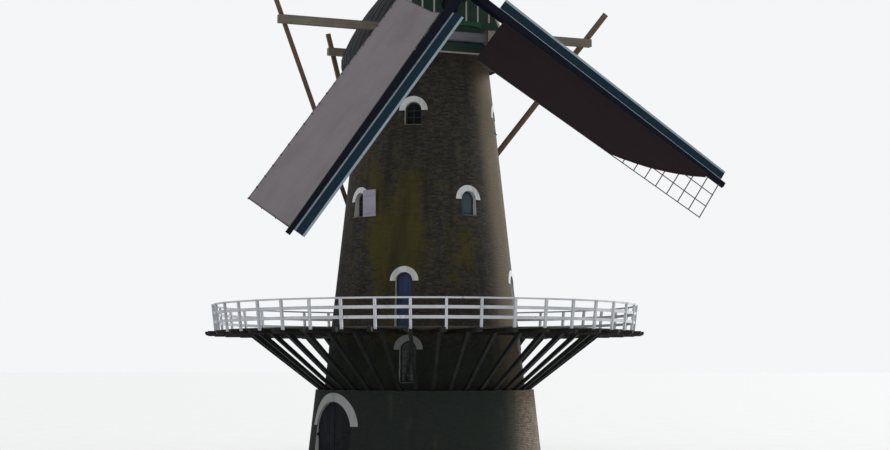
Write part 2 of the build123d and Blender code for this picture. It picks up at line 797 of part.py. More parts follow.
with BuildPart() as short_braces:
    for side in (-1, 1):
        add(brace(side, SHORT_SPREADER_Y, SHORT_SPREADER_HALF, SHORT_BRACE_RISE, SHORT_BRACE_FOOT))
    add(timber(*pole_ends, TAIL_SIZE + 2 * SEAT, (1, 0, 0)), mode=Mode.SUBTRACT)
    add(spreader(SHORT_SPREADER_Y, SHORT_SPREADER_HALF, SEAT), mode=Mode.SUBTRACT)
save(short_braces.part, "short_braces")

# Winch behind the foot of the tail pole: cheeks, drum and spoked hand wheel
pole_side = TAIL_SIZE / 2 + SEAT
winch_y = tail_depth(WINCH_LEVEL)
drum_y = winch_y + WINCH_REACH
wheel_x = pole_side + 2 * WINCH_CHEEK
with BuildPart() as winding_winch:
    for side in (-1, 1):
        with BuildSketch(Plane.YZ.offset(side * (pole_side + WINCH_CHEEK / 2))):
            with Locations((winch_y + WINCH_REACH / 2, WINCH_LEVEL)):
                SlotCenterToCenter(WINCH_REACH, WINCH_CHEEK_DEPTH)
        extrude(amount=WINCH_CHEEK / 2, both=True)
    with BuildSketch(Plane.YZ.offset(-pole_side - WINCH_CHEEK)):
        with Locations((drum_y, WINCH_LEVEL)):
            Circle(WINCH_DRUM_RADIUS)
    extrude(amount=2 * pole_side + 4 * WINCH_CHEEK)
    with BuildSketch(Plane.YZ.offset(wheel_x)):
        with Locations((drum_y, WINCH_LEVEL)):
            Circle(WINCH_WHEEL_RADIUS)
            Circle(WINCH_WHEEL_RADIUS - WINCH_WHEEL_RIM, mode=Mode.SUBTRACT)
            with PolarLocations(0, WINCH_SPOKES):
                Rectangle(WINCH_WHEEL_RADIUS - WINCH_WHEEL_RIM / 2, WINCH_SPOKE,
                          align=(Align.MIN, Align.CENTER))
    extrude(amount=WINCH_CHEEK)
save(winding_winch.part, "winding_winch")

# Windshaft: square poll end, thick neck, thinner tail
neck_end = -along_shaft(NECK_Y + NECK_BEAM_WIDTH)
tail_start = -along_shaft(TAIL_BEARING_Y - TAIL_BEAM_WIDTH)
shaft_end = -along_shaft(TAIL_BEARING_Y + SHAFT_END)


def stock_plane(angle, forward):
    a = radians(angle)
    reach = shaft_plane.x_dir * cos(a) + shaft_plane.y_dir * sin(a)
    return Plane(origin=shaft_plane.origin + shaft_plane.z_dir * forward, x_dir=reach, z_dir=shaft_plane.z_dir)


def stock_size(r):
    share = r / SAIL_LENGTH
    return tuple(root + (tip - root) * share for root, tip in zip(STOCK_ROOT, STOCK_TIP))


shaft_side = Plane(
    origin=shaft_plane.origin,
    x_dir=shaft_plane.x_dir,
    z_dir=shaft_plane.x_dir.cross(shaft_plane.z_dir),
)
with BuildPart() as windshaft:
    with BuildSketch(stock_plane(FIRST_SAIL, -POLL_LENGTH / 2)):
        Rectangle(POLL_SIZE, POLL_SIZE)
    extrude(amount=POLL_LENGTH)
    with BuildSketch(shaft_side):
        with BuildLine():
            Polyline(
                (0, 0),
                (NECK_RADIUS, 0),
                (NECK_RADIUS, neck_end),
                (SHAFT_STEP, neck_end - SHAFT_STEP / 2),
                (SHAFT_STEP, tail_start + SHAFT_STEP),
                (TAIL_RADIUS, tail_start),
                (TAIL_RADIUS, shaft_end),
                (0, shaft_end),
                close=True,
            )
        make_face()
    revolve(axis=Axis(shaft_plane.origin, shaft_plane.z_dir))
    for angle, forward in ((FIRST_SAIL, STOCK_SPACING / 2), (FIRST_SAIL + 90, -STOCK_SPACING / 2)):
        with Locations(stock_plane(angle, forward)):
            Box(2 * POLL_SIZE, STOCK_ROOT[0] + 2 * SEAT, STOCK_ROOT[1] + 2 * SEAT, mode=Mode.SUBTRACT)
save(windshaft.part, "windshaft")

# One stock, tapered both ways from the poll end; sail places run along x
with BuildPart() as stock:
    for turn in (0, 180):
        sections = []
        for r in (0, SAIL_LENGTH):
            wide, deep = stock_size(r)
            with BuildSketch(Plane.YZ.offset(r)) as section:
                Rectangle(wide, deep)
            sections.append(section.sketch)
        with BuildPart(mode=Mode.PRIVATE) as arm:
            loft(sections=sections)
        add(arm.part.rotate(Axis.Z, turn))


def weather_slope(r):
    share = (r - BAR_START) / (BAR_END - BAR_START)
    root = tan(radians(ROOT_WEATHER))
    return root + share * (tan(radians(TIP_WEATHER)) - root)


def weather_plane(r):
    """Square across the sail: x runs out along the bar, y along its face's normal."""
    slope = weather_slope(r)
    return Plane(origin=(r, 0, 0), x_dir=(0, -1, -slope), z_dir=(-1, 0, 0))


# The lattice of one sail: cross bars tied by laths along their backs
bar_places = [BAR_START + BAR_PITCH * k for k in range(1 + int((BAR_END - BAR_START) / BAR_PITCH))]
lath_back = BAR_SIZE / 2 + LATH_SIZE / 4
with BuildPart() as lattice:
    for r in bar_places:
        slope = weather_slope(r)
        root = (stock_size(r)[0] / 2 + BAR_SIZE / 2 * slope + SEAT) * hypot(1, slope)
        with BuildSketch(weather_plane(r).offset(-BAR_SIZE / 2)):
            with Locations((root, 0)):
                Rectangle(LATTICE_WIDTH * hypot(1, slope) - root, BAR_SIZE, align=(Align.MIN, Align.CENTER))
        extrude(amount=BAR_SIZE)
    for place in LATH_PLACES:
        ends = [(r, -place, -place * weather_slope(r) - lath_back)
                for r in (BAR_START - BAR_SIZE, bar_places[-1] + BAR_SIZE)]
        run = Vector(*ends[1]) - Vector(*ends[0])
        middle = weather_slope((BAR_START + BAR_END) / 2)
        with BuildSketch(Plane(origin=ends[0], x_dir=(0, -1, -middle), z_dir=run)):
            Rectangle(LATH_SIZE, LATH_SIZE)
        extrude(amount=run.length)


def blade_section(r, near, far, back, thickness):
    """A thin strip across the sail at r, from near to far, resting on the bars' faces."""
    slope = weather_slope(r)
    stretch = hypot(1, slope)
    with BuildSketch(weather_plane(r)) as strip:
        with Locations((near * stretch, back)):
            Rectangle((far - near) * stretch, thickness, align=(Align.MIN, Align.MIN))
    return strip.sketch


# The leading board, on the other side of the stock
board_ends = (LEADING_START, SAIL_LENGTH - LEADING_WIDTH / 2)
with BuildPart() as leading_board:
    sections = []
    for r in board_ends:
        near = stock_size(r)[0] / 2 + LEADING_THICKNESS * weather_slope(r) / 2 + SEAT
        sections.append(blade_section(r, -near - LEADING_WIDTH, -near, -LEADING_THICKNESS / 2,
                                      LEADING_THICKNESS))
    loft(sections=sections, ruled=True)

# Cloths in front of the bars, full or reefed to a curve
cloth_back = BAR_SIZE / 2 + CLOTH_GAP
with BuildPart() as full_cloth:
    sections = []
    for step in range(CLOTH_STEPS + 1):
        r = CLOTH_START + (BAR_END - CLOTH_START) * step / CLOTH_STEPS
        near = stock_size(r)[0] / 2 + CLOTH_INSET
        sections.append(blade_section(r, near, LATTICE_WIDTH, cloth_back, CLOTH_THICKNESS))
    loft(sections=sections, ruled=True)

with BuildPart() as reefed_cloth:
    add(full_cloth.part)
    with BuildSketch(Plane.XY.offset(-SAIL_LENGTH)):
        with BuildLine():
            edge = ThreePointArc(*[(r, -across) for r, across in REEF])
            Polyline(edge @ 1, (REEF[2][0], 0), (0, 0), (0, -SAIL_LENGTH), (REEF[0][0], -SAIL_LENGTH), edge @ 0)
        make_face()
    extrude(amount=2 * SAIL_LENGTH, mode=Mode.INTERSECT)

# The four sails, named by their places at rest seen from the front
SAILS = (
    ("upper_right", FIRST_SAIL, STOCK_SPACING / 2, full_cloth),
    ("upper_left", FIRST_SAIL + 90, -STOCK_SPACING / 2, reefed_cloth),
    ("lower_left", FIRST_SAIL + 180, STOCK_SPACING / 2, full_cloth),
    ("lower_right", FIRST_SAIL + 270, -STOCK_SPACING / 2, reefed_cloth),
)
for name, angle, forward, cloth in SAILS:
    place = stock_plane(angle, forward)
    with BuildPart() as placed_lattice:
        with Locations(place):
            add(lattice.part)
    save(placed_lattice.part, f"{name}_lattice")
    with BuildPart() as placed_cloth:
        with Locations(place):
            add(cloth.part)
    save(placed_cloth.part, f"{name}_cloth")

with BuildPart() as leading_boards:
    for name, angle, forward, cloth in SAILS:
        with Locations(stock_plane(angle, forward)):
            add(leading_board.part)
save(leading_boards.part, "leading_boards")

for name, (sail, angle, forward, cloth) in zip(("front_stock", "rear_stock"), SAILS):
    with BuildPart() as placed_stock:
        with Locations(stock_plane(angle, forward)):
            add(stock.part)
    save(placed_stock.part, name)
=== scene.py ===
# %% [markdown]
# A round brick tower mill with a gallery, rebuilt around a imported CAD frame.
# The CAD gives every part its real size and place. Blender adds what a plain solid lacks: brick, boards,
# paint, cloth, bolts and trim. All lengths are metres, +Z is up, and the mill faces -Y.

# %% Load the frame
import bmesh
import bpy
import random
from math import asin, cos, degrees, hypot, pi, radians, sin, sqrt, tan
from mathutils import Matrix, Vector


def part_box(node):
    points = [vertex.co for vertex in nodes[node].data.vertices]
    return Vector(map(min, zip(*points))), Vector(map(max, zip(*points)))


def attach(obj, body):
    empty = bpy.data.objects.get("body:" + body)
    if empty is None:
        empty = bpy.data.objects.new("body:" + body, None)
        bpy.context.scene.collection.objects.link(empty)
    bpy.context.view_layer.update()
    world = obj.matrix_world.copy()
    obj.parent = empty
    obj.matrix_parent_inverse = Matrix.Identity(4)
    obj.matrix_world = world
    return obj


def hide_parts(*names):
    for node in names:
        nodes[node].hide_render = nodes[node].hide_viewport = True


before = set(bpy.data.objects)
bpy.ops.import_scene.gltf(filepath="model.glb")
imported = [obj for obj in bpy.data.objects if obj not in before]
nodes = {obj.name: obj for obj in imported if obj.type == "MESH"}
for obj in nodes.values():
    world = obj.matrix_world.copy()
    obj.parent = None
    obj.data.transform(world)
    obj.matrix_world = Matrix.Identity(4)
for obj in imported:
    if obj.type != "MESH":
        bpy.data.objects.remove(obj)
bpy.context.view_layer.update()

# %% [markdown]
# The photograph was taken from the ground, 60 m in front of the tower and a little to its left, looking
# slightly up. A long lens keeps the tower's sides almost straight, so the camera has one too.

# %% Camera
CAMERA_PLACE = Vector((-20.2, -56.5, 3.92))
CAMERA_TURN = radians(20.42)
CAMERA_PITCH = radians(5.23)


def linked(name, data):
    """A new object in the scene."""
    made = bpy.data.objects.new(name, data)
    bpy.context.scene.collection.objects.link(made)
    return made


camera = linked("camera", bpy.data.cameras.new("camera"))
camera.location = CAMERA_PLACE
camera.data.lens = 62.3
camera.data.clip_end = 2000
aim = Vector((sin(CAMERA_TURN) * cos(CAMERA_PITCH), cos(CAMERA_TURN) * cos(CAMERA_PITCH), sin(CAMERA_PITCH)))
camera.rotation_euler = aim.to_track_quat("-Z", "Y").to_euler()
bpy.context.scene.camera = camera
bpy.context.scene.view_settings.view_transform = "Standard"
print("camera looks along", [round(a, 3) for a in aim])

# %% [markdown]
# Light like that of a large studio: an even white surrounding, a broad lamp beyond the mill's right side
# that lights one flank of the round tower, and a weak one in front. Sun lamps suit so tall a subject,
# because their light doesn't fall off, and a wide angle keeps the shadow edges soft.

# %% Lamps
LAMPS = (("key_lamp", 4.2, 20, 22, 28), ("fill_lamp", 0.4, 60, -135, 35))
for name, energy, angle, bearing, rise in LAMPS:
    lamp = linked(name, bpy.data.lights.new(name, "SUN"))
    lamp.data.energy = energy
    lamp.data.angle = radians(angle)
    turn, lift = radians(bearing), radians(rise)
    from_mill = Vector((cos(turn) * cos(lift), sin(turn) * cos(lift), sin(lift)))
    lamp.rotation_euler = from_mill.to_track_quat("Z", "Y").to_euler()
print("lamps:", [row[0] for row in LAMPS])

# %% [markdown]
# A material is a graph of nodes. Written node by node it is hard to read, so two small classes carry the
# work. A Link is one output, and Python's own operators on it add Math nodes. A Finish is one material. Its
# method node makes any other node: its type, its settings, then what goes into its sockets. Colours are
# written as on a paint chart, red, green and blue from 0 to 255, and a fourth number dims one.

# %% Shader maths as expressions
def tone(red, green, blue, light=1.0):
    """A colour of 0 to 255, made linear."""
    values = (channel / 255 for channel in (red, green, blue))
    return (*(light * (v / 12.92 if v < 0.04045 else ((v + 0.055) / 1.055) ** 2.4) for v in values), 1.0)


def operator(operation, reflected=False):
    """A Python operator on links that adds a Math node."""
    def apply(link, *other):
        values = (*other, link) if reflected else (link, *other)
        return link.finish.node("Math", {"operation": operation}, dict(enumerate(values)))
    return apply


class Link:
    """One output of a node."""

    def __init__(self, finish, socket):
        self.finish, self.socket = finish, socket

    def maths(self, operation, *others):
        return operator(operation)(self, *others)

    __add__ = __radd__ = operator("ADD")
    __mul__ = __rmul__ = operator("MULTIPLY")
    __sub__, __rsub__ = operator("SUBTRACT"), operator("SUBTRACT", reflected=True)
    __truediv__, __rtruediv__ = operator("DIVIDE"), operator("DIVIDE", reflected=True)
    __gt__, __lt__ = operator("GREATER_THAN"), operator("LESS_THAN")
    __mod__ = operator("FLOORED_MODULO")
    __abs__ = operator("ABSOLUTE")


class Finish:
    """One material, built by its parts."""

    def __init__(self, name, world=None):
        self.material = bpy.data.materials.new(name) if world is None else world
        self.material.use_nodes = True
        self.tree = self.material.node_tree
        self.tree.nodes.clear()

    def node(self, kind, settings=None, inputs=None, output=0):
        made = self.tree.nodes.new("ShaderNode" + kind)
        for name, value in (settings or {}).items():
            if name == "stops":
                ramp = made.color_ramp
                while len(ramp.elements) < len(value):
                    ramp.elements.new(1)
                for element, (place, colour) in zip(ramp.elements, value):
                    element.position, element.color = place, tone(*colour)
            else:
                setattr(made, name, value)
        for key, value in (inputs or {}).items():
            if isinstance(value, Link):
                self.tree.links.new(value.socket, made.inputs[key])
            else:
                made.inputs[key].default_value = value
        return Link(self, made.outputs[output])

    def place(self):
        return self.node("TexCoord", output="Object")

    def split(self, vector):
        return [self.node("SeparateXYZ", inputs={0: vector}, output=k) for k in range(3)]

    def join(self, x, y, z):
        return self.node("CombineXYZ", inputs={0: x, 1: y, 2: z})

    def measure(self, operation, *vectors):
        """A number that Vector Math takes from vectors."""
        return self.node("VectorMath", {"operation": operation}, dict(enumerate(vectors)), "Value")

    def around(self):
        """The place as x, y and z, then as the angle and the distance about the tower's axis."""
        x, y, z = self.split(self.place())
        return x, y, z, y.maths("ARCTAN2", x), self.measure("LENGTH", self.join(x, y, 0.0))

    def noise(self, vector, scale, detail=3.0):
        return self.node("TexNoise", inputs={"Vector": vector, "Scale": scale, "Detail": detail})

    def step(self, value, low, high):
        """Eases from 0 at low to 1 at high."""
        settings = {"interpolation_type": "SMOOTHSTEP"}
        return self.node("MapRange", settings, {"Value": value, "From Min": low, "From Max": high})

    def mix(self, factor, low, high):
        """Blends two colours, each a link or its numbers."""
        low, high = (colour if isinstance(colour, Link) else tone(*colour) for colour in (low, high))
        return self.node("Mix", {"data_type": "RGBA"}, {0: factor, 6: low, 7: high}, 2)

    def shade(self, colour, roughness, height=None, distance=0.01, shine=0.25):
        """Ends the material in a Principled shader."""
        inputs = {"Base Color": colour, "Roughness": roughness, "Specular IOR Level": shine}
        if height is not None:
            bump = {"Height": height, "Distance": distance, "Strength": 1.0}
            inputs["Normal"] = self.node("Bump", inputs=bump)
        return self.end(self.node("BsdfPrincipled", inputs=inputs))

    def end(self, shader, kind="OutputMaterial"):
        self.tree.links.new(shader.socket, self.tree.nodes.new("ShaderNode" + kind).inputs["Surface"])
        return self.material


print("mid grey is", round(tone(128, 128, 128)[0], 3))

# %% [markdown]
# The surroundings and the floor come first, because every colour is judged against them. The world sends
# one strength as light and another to the camera, and a Light Path node tells them apart.

# %% World and floor
WORLD_LIGHT = 0.66
BACKDROP = tone(244, 246, 248)
FLOOR_RADIUS = 900
bpy.context.scene.world = bpy.data.worlds.new("studio")
studio = Finish("studio", bpy.context.scene.world)
seen = studio.node("LightPath", output="Is Camera Ray")
light = studio.node("Background", inputs={"Color": tone(250, 250, 252), "Strength": WORLD_LIGHT})
picture = studio.node("Background", inputs={"Color": BACKDROP, "Strength": 1.0})
studio.end(studio.node("MixShader", inputs={0: seen, 1: light, 2: picture}), "OutputWorld")


def deselect():
    """Leaves edit mode, and nothing is selected."""
    if bpy.context.object and bpy.context.object.mode != "OBJECT":
        bpy.ops.object.mode_set(mode="OBJECT")
    bpy.ops.object.select_all(action="DESELECT")


def start(kind, name, **place):
    """Adds one primitive, alone in the selection."""
    deselect()
    getattr(bpy.ops.mesh, f"primitive_{kind}_add")(**place)
    made = bpy.context.object
    made.name = made.data.name = name
    return made


def dress(piece, material):
    """Gives a piece one material."""
    piece.data.materials.clear()
    piece.data.materials.append(material)


floor = start("circle", "floor", vertices=96, radius=FLOOR_RADIUS, fill_type="NGON")
paving = Finish("studio_floor")
speck = paving.noise(paving.place(), 0.7, 4.0)
dress(floor, paving.shade(paving.mix(speck, (206, 207, 206), (216, 217, 216)), 0.9))
print("floor radius", FLOOR_RADIUS)

# %% [markdown]
# The brick of the tower is laid in cross bond: a course of long stretchers, then one of short headers.
# Thousands of modelled bricks would be slow, so a material lays them. It works out each point's course from
# its height, and its brick from the angle around the tower. The tower narrows upwards, so each course has
# its own whole number of bricks, and the bond meets itself at the back without a cut brick.

# %% Brick
COURSE = 0.064
STRETCHER = 0.22
JOINT = (0.004, 0.009)
TOWER_TOP = 15.6
BATTER = 0.11
TOP_RADIUS = 2.5
DRY_SUNLIT_BEARING = 23
MOSS_BEARING = -130
MOSS_LEVEL = 9.4
GALLERY_LEVEL = 5.2


def wall_radius(z):
    """How far out the tower's wall stands at a height, a number or a link."""
    return TOP_RADIUS + BATTER * (TOWER_TOP - z)


def brick_finish(name, bricks, mortar, moss, streaks, dry_and_sunlit_side, foot=0.0):
    """Bricks are ramp stops. Moss, streaks and the paler side are (amount, colour). The paler side is cleaner
    dry brick and painted sunlight.
    """
    f = Finish(name)
    spot = f.place()
    x, y, z, turn, reach = f.around()

    def facing(bearing):
        return (x * cos(radians(bearing)) + y * sin(radians(bearing))) / reach

    # The brick that a point lies on, and how near it is to that brick's edge
    course = (z / COURSE).maths("FLOOR")
    ring = 2 * pi * (wall_radius(course * COURSE) + foot)
    header = course % 2
    length = STRETCHER - header * (STRETCHER / 2)
    count = (ring / length).maths("ROUND")
    run = turn / (2 * pi) * count + header * 0.25
    brick = run.maths("FLOOR") % count
    across = (0.5 - abs(run % 1 - 0.5)) * length
    up = (0.5 - abs(z / COURSE % 1 - 0.5)) * COURSE
    rough = f.noise(spot, 60.0, 3.0)
    face = f.step(across.maths("MINIMUM", up) + rough * 0.004, *JOINT)
    chance = f.node("TexWhiteNoise", {"noise_dimensions": "2D"}, {"Vector": f.join(brick, course, 0.0)})
    colour = f.node("ValToRGB", {"stops": bricks}, {0: chance * 0.85 + rough * 0.15})

    # Weather and painted light: the paler side (dry brick and painted sunlight), moss, painted shade under
    # the gallery, streaks and pale salts
    patch = f.noise(f.join(x, y, z * 0.35), 0.55, 5.0)
    # Paler brick on the side that faces the key lamp: partly the real dry, clean side, partly painted
    # sunlight
    dry_and_sunlit = f.step(facing(DRY_SUNLIT_BEARING) + (patch - 0.5) * 0.4, -0.05, 0.3)
    colour = f.mix(dry_and_sunlit * dry_and_sunlit_side[0], colour, f.mix(chance, dry_and_sunlit_side[1], (104, 88, 66)))
    colour = f.mix(face, mortar, colour)
    thick = f.step(facing(MOSS_BEARING), 0.86, 1.0) * f.step(abs(z - MOSS_LEVEL), 3.4, 0.6)
    mossy = patch * 0.65 + f.noise(spot, 2.8, 7.0) * 0.35 + rough * 0.1 + thick * 0.19
    colour = f.mix(f.step(mossy, 0.56, 0.74) * (1 - dry_and_sunlit) * moss[0], colour, moss[1])
    # Painted shade: the brick is darkened to a dark green-grey below the gallery's deck, except on the paler
    # side
    painted_gallery_shade = f.step(z, GALLERY_LEVEL, GALLERY_LEVEL - 0.9) * (1 - dry_and_sunlit)
    colour = f.mix(painted_gallery_shade * 0.8, colour, (32, 39, 35))
    drip = f.noise(f.join(x * 2.2, y * 2.2, z * 0.16), 1.0, 5.0)
    colour = f.mix(f.step(drip, 0.45, 0.75) * (1 - dry_and_sunlit * 0.7) * streaks[0], colour, streaks[1])
    pale = f.noise(f.join(x * 1.4, y * 1.4, z * 0.5 + 40), 1.3, 6.0)
    colour = f.mix(f.step(pale, 0.58, 0.8) * 0.15, colour, (110, 106, 94))

    # Whitewash in the openings
    inside = f.step(reach - foot - wall_radius(z), -0.006, -0.012)
    colour = f.mix(inside, colour, f.mix(rough, (178, 178, 172), (204, 204, 198)))
    return f.shade(colour, 0.95, face * (1 - inside) * 0.8 + rough * 0.3, 0.012)


TOWER_BRICKS = ((0.0, (30, 29, 28)), (0.3, (41, 39, 36)), (0.6, (50, 47, 41)),
                (0.85, (64, 57, 48)), (1.0, (40, 40, 40)))
BASE_BRICKS = ((0.0, (34, 38, 37)), (0.35, (46, 50, 47)), (0.7, (60, 62, 56)), (1.0, (44, 50, 49)))
# The last pair of each is the paler side: cleaner dry brick, with painted sunlight in its colour
tower_brick = brick_finish("tower_brick", TOWER_BRICKS, (54, 53, 48), (0.75, (68, 62, 18)),
                           (0.55, (24, 24, 25)), (0.6, (114, 101, 76)))
base_brick = brick_finish("base_brick", BASE_BRICKS, (52, 55, 52), (0.6, (36, 46, 38)),
                          (0.6, (30, 35, 34)), (0.65, (152, 136, 120)), foot=0.33)
print("courses up the tower:", int(TOWER_TOP / COURSE))

# %% [markdown]
# Old timber and painted wood share one recipe: fine lines that run with the grain, broader bands of tone,
# and dirt in soft patches. Each beam runs its own way, so the grain's space is built from the direction of
# the run: slow change along it, and quick change across it.

# %% Wood and paint
UP = (0, 0, 1)
ACROSS = (1, 0, 0)


def grain_space(f, along, fine):
    """Stretched coordinates, for wood laid around the tower or outward from it, or for a straight run."""
    if along in ("round", "outward"):
        _, _, z, turn, reach = f.around()
        lengthwise = (turn * 6.0, reach * fine) if along == "round" else (reach * 0.8, turn * fine * 6)
        return f.join(*lengthwise, z * fine)
    run = Vector(along).normalized()
    side = run.orthogonal().normalized()
    axes = (run * 0.8, side * fine, run.cross(side) * fine)
    return f.join(*(f.measure("DOT_PRODUCT", f.place(), tuple(axis)) for axis in axes))


def wood_finish(name, light, dark, along, dirt=0.35, fine=22.0, roughness=0.8, relief=0.004, peel=None,
                foot=None):
    """Weathered or painted wood. peel shows where paint is gone, foot is (height, colour) of a dark foot."""
    f = Finish(name)
    lines = f.noise(grain_space(f, along, fine), 1.0, 6.0)
    spot = f.place()
    broad = f.noise(spot, 0.8, 4.0)
    grime = f.step(f.noise(spot, 2.3, 6.0), 0.42, 0.72)
    if peel is None:
        colour = f.mix(lines, dark, light)
    else:
        gone = f.step(f.noise(spot, 9.0, 8.0) * 0.7 + lines * 0.3, 0.6, 0.66)
        colour = f.mix(gone * 0.7, f.mix(lines * 0.5 + 0.5, dark, light), peel)
    colour = f.mix(f.step(broad, 0.4, 0.75) * dirt, colour, (*dark, 0.45))
    colour = f.mix(grime * dirt * 0.6, colour, (70, 70, 52))
    if foot is not None:
        colour = f.mix(f.step(f.split(spot)[2], foot[0], foot[0] - 0.01), colour, foot[1])
    return f.shade(colour, f.step(lines, 0.0, 1.0) * 0.15 + (roughness - 0.1), lines, relief)


print("wood recipe ready")

# %% [markdown]
# Metal and glass are simpler. Iron that has stood outside is dull, dark and pitted, with rust where water
# sits. Old window glass is dark from outside, and a faint wave in it breaks up what it reflects. Plaster is
# streaked by rain, and grey where the gallery shades it.

# %% Iron, glass and plaster
def iron_finish(name, paint, rust=0.25, roughness=0.5, shine=0.25):
    f = Finish(name)
    spot = f.place()
    pits = f.noise(spot, 18.0, 8.0)
    worn = f.step(f.noise(spot, 2.6, 6.0) * 0.7 + pits * 0.3, 0.52, 0.66)
    colour = f.mix(worn * rust, paint, (96, 58, 38))
    colour = f.mix(pits * 0.3, colour, (*paint, 0.5))
    return f.shade(colour, worn * 0.3 + roughness, pits, 0.003, shine)


def glass_finish(name):
    f = Finish(name)
    wave = f.noise(f.place(), 3.0, 2.0)
    return f.shade(f.mix(wave, (8, 11, 14), (22, 28, 34)), wave * 0.08 + 0.1, wave, 0.01, 0.35)


def plaster_finish(name, colour, stain):
    f = Finish(name)
    spot = f.place()
    x, y, z = f.split(spot)
    drip = f.step(f.noise(f.join(x * 5, y * 5, z * 0.9), 1.0, 5.0), 0.45, 0.8)
    grit = f.noise(spot, 45.0, 4.0)
    shade = f.mix(drip * 0.55, colour, stain)
    under_gallery = f.step(z, GALLERY_LEVEL, GALLERY_LEVEL - 0.1) * (0.45 + f.step(z, 3.0, 3.2) * 0.27)
    shade = f.mix(under_gallery, shade, (84, 88, 82))
    return f.shade(f.mix(grit * 0.25, shade, stain), 0.9, grit, 0.004)


print("iron, glass and plaster ready")

# %% [markdown]
# The sails turn on a shaft that leans back 13 degrees, so their pieces are easiest to place in a frame of
# their own: x runs out along a sail, y towards its leading edge, and z forward from the cap. Two stocks
# cross in the hub, one in front of the other, and each carries two sails.

# %% The sails' own frame
HUB = Vector((0, -4.5, 17.9))
SHAFT_TILT = radians(13)
FORWARD = Vector((0, -cos(SHAFT_TILT), sin(SHAFT_TILT)))
UPWARD = Vector((0, sin(SHAFT_TILT), cos(SHAFT_TILT)))
FIRST_SAIL = 53.5
STOCK_OFFSET = 0.24


def sail_frame(angle, forward=0.0):
    reach = Vector(ACROSS) * cos(radians(angle)) + UPWARD * sin(radians(angle))
    side = FORWARD.cross(reach)
    rows = Matrix((reach, side, FORWARD)).transposed().to_4x4()
    return Matrix.Translation(HUB + FORWARD * forward) @ rows


POLL_FRAME = sail_frame(FIRST_SAIL)
SAILS = {name: sail_frame(FIRST_SAIL + 90 * k, STOCK_OFFSET * (-1) ** k)
         for k, name in enumerate(("upper_right", "upper_left", "lower_left", "lower_right"))}


def out_along(name):
    """The direction that a sail points in."""
    return tuple(SAILS[name].to_3x3() @ Vector(ACROSS))


print("lower right sail points", [round(v, 2) for v in out_along("lower_right")])

# %% [markdown]
# Now the CAD nodes whose shape is already right get their finishes. A whole family of parts shares a recipe
# with its own colours, as a painter would carry one pot from part to part.

# %% Finishes for the CAD parts
WEATHERED = ((132, 126, 114), (86, 80, 70))


def finish(material, *names):
    """Dresses CAD parts with a material, which other pieces may share."""
    for name in names:
        dress(nodes[name], material)
    return material


def paint_open_shutter(piece):
    """The open shutter, on the tower's left, is pale. The shut one stays blue-grey."""
    piece.data.materials.append(shutter_pale)
    for face in piece.data.polygons:
        face.material_index = int(face.center.x < -1.5)


finish(tower_brick, "tower_wall_left", "tower_wall_front", "tower_wall_right", "tower_wall_back")
finish(base_brick, "base_wall_front", "base_wall_right", "base_wall_back", "base_wall_left_of_door",
       "base_wall_right_of_door", "base_wall_over_door", "ground_floor")
finish(wood_finish("railing_white", (198, 201, 206), (158, 162, 168), "round", dirt=0.2, fine=16,
                   peel=(132, 124, 108), foot=(5.17, (24, 26, 26))), "gallery_railing")
finish(plaster_finish("arch_plaster", (204, 207, 208), (122, 120, 112)), "arch_bands")
finish(glass_finish("dark_glass"), "window_panes")
finish(wood_finish("tarred_joists", (28, 31, 30), (11, 13, 14), "outward", dirt=0.3, roughness=0.7),
       "gallery_joists", "gallery_struts", "gallery_deck")
finish(wood_finish("across_timber", *WEATHERED, ACROSS), "long_spreader", "short_spreader", "neck_beam")
finish(wood_finish("plain_timber", (150, 128, 98), (104, 84, 60), ACROSS, dirt=0.3), "floors",
       "tail_bearing_beam")
finish(wood_finish("rim_timber", (72, 60, 54), (42, 36, 34), "round", dirt=0.3), "curb_ring", "cap_base")
finish(wood_finish("beam_grey", (118, 118, 124), (84, 84, 90), ACROSS, dirt=0.3), "cap_beams")
finish(wood_finish("pole_timber", *WEATHERED, (0, 1.7, -11.2)), "tail_pole", "winding_winch")
finish(wood_finish("beard_green", (30, 92, 52), (18, 62, 38), ACROSS, dirt=0.2, roughness=0.5), "beard_board")
sash_dark = finish(wood_finish("sash_dark", (60, 64, 62), (36, 40, 42), UP, dirt=0.25, fine=26),
                   "window_frames")
blue_boards = finish(wood_finish("blue_boards", (62, 72, 108), (38, 46, 80), UP, dirt=0.3, fine=24),
                     "gallery_doors")
door_green = finish(wood_finish("door_green", (7, 19, 31), (4, 10, 16), UP, dirt=0.2, fine=24,
                                roughness=0.85), "door_leaf_left", "door_leaf_right")
roof_tar = finish(wood_finish("roof_tar", (38, 40, 48), (20, 22, 28), "outward", fine=3, roughness=0.75),
                  "cap_roof")
cap_green = finish(wood_finish("cap_green", (34, 62, 50), (18, 36, 32), UP, fine=18, roughness=0.6),
                   "cap_front_boarding", "cap_rear_boarding")
wrought_iron = finish(iron_finish("wrought_iron", (34, 34, 36), rust=0.35), "door_pintles")
shaft_black = finish(iron_finish("shaft_black", (30, 32, 38), rust=0.2, roughness=0.45), "windshaft")
cap_timber = wood_finish("cap_timber", *WEATHERED, (0, 1, 0))
shutter_pale = wood_finish("shutter_pale", (168, 164, 180), (134, 130, 146), UP, dirt=0.2)
shutter_teal = finish(wood_finish("shutter_teal", (74, 92, 104), (48, 64, 76), UP, dirt=0.3), "shutters")
paint_open_shutter(nodes["shutters"])
for node, side in (("long_braces", (6.15, -6.1, 9.99)), ("short_braces", (2.75, -1.0, 8.45))):
    finish(wood_finish(node + "_timber", (124, 102, 84), (70, 58, 48), side), node)
for node in ("front_stock", "rear_stock"):
    finish(iron_finish(node + "_paint", (9, 15, 29), rust=0.05, roughness=0.65, shine=0.1), node)
for sail in SAILS:
    finish(wood_finish(sail + "_bars", (104, 106, 102), (66, 72, 72), out_along(sail), dirt=0.3),
           sail + "_lattice")
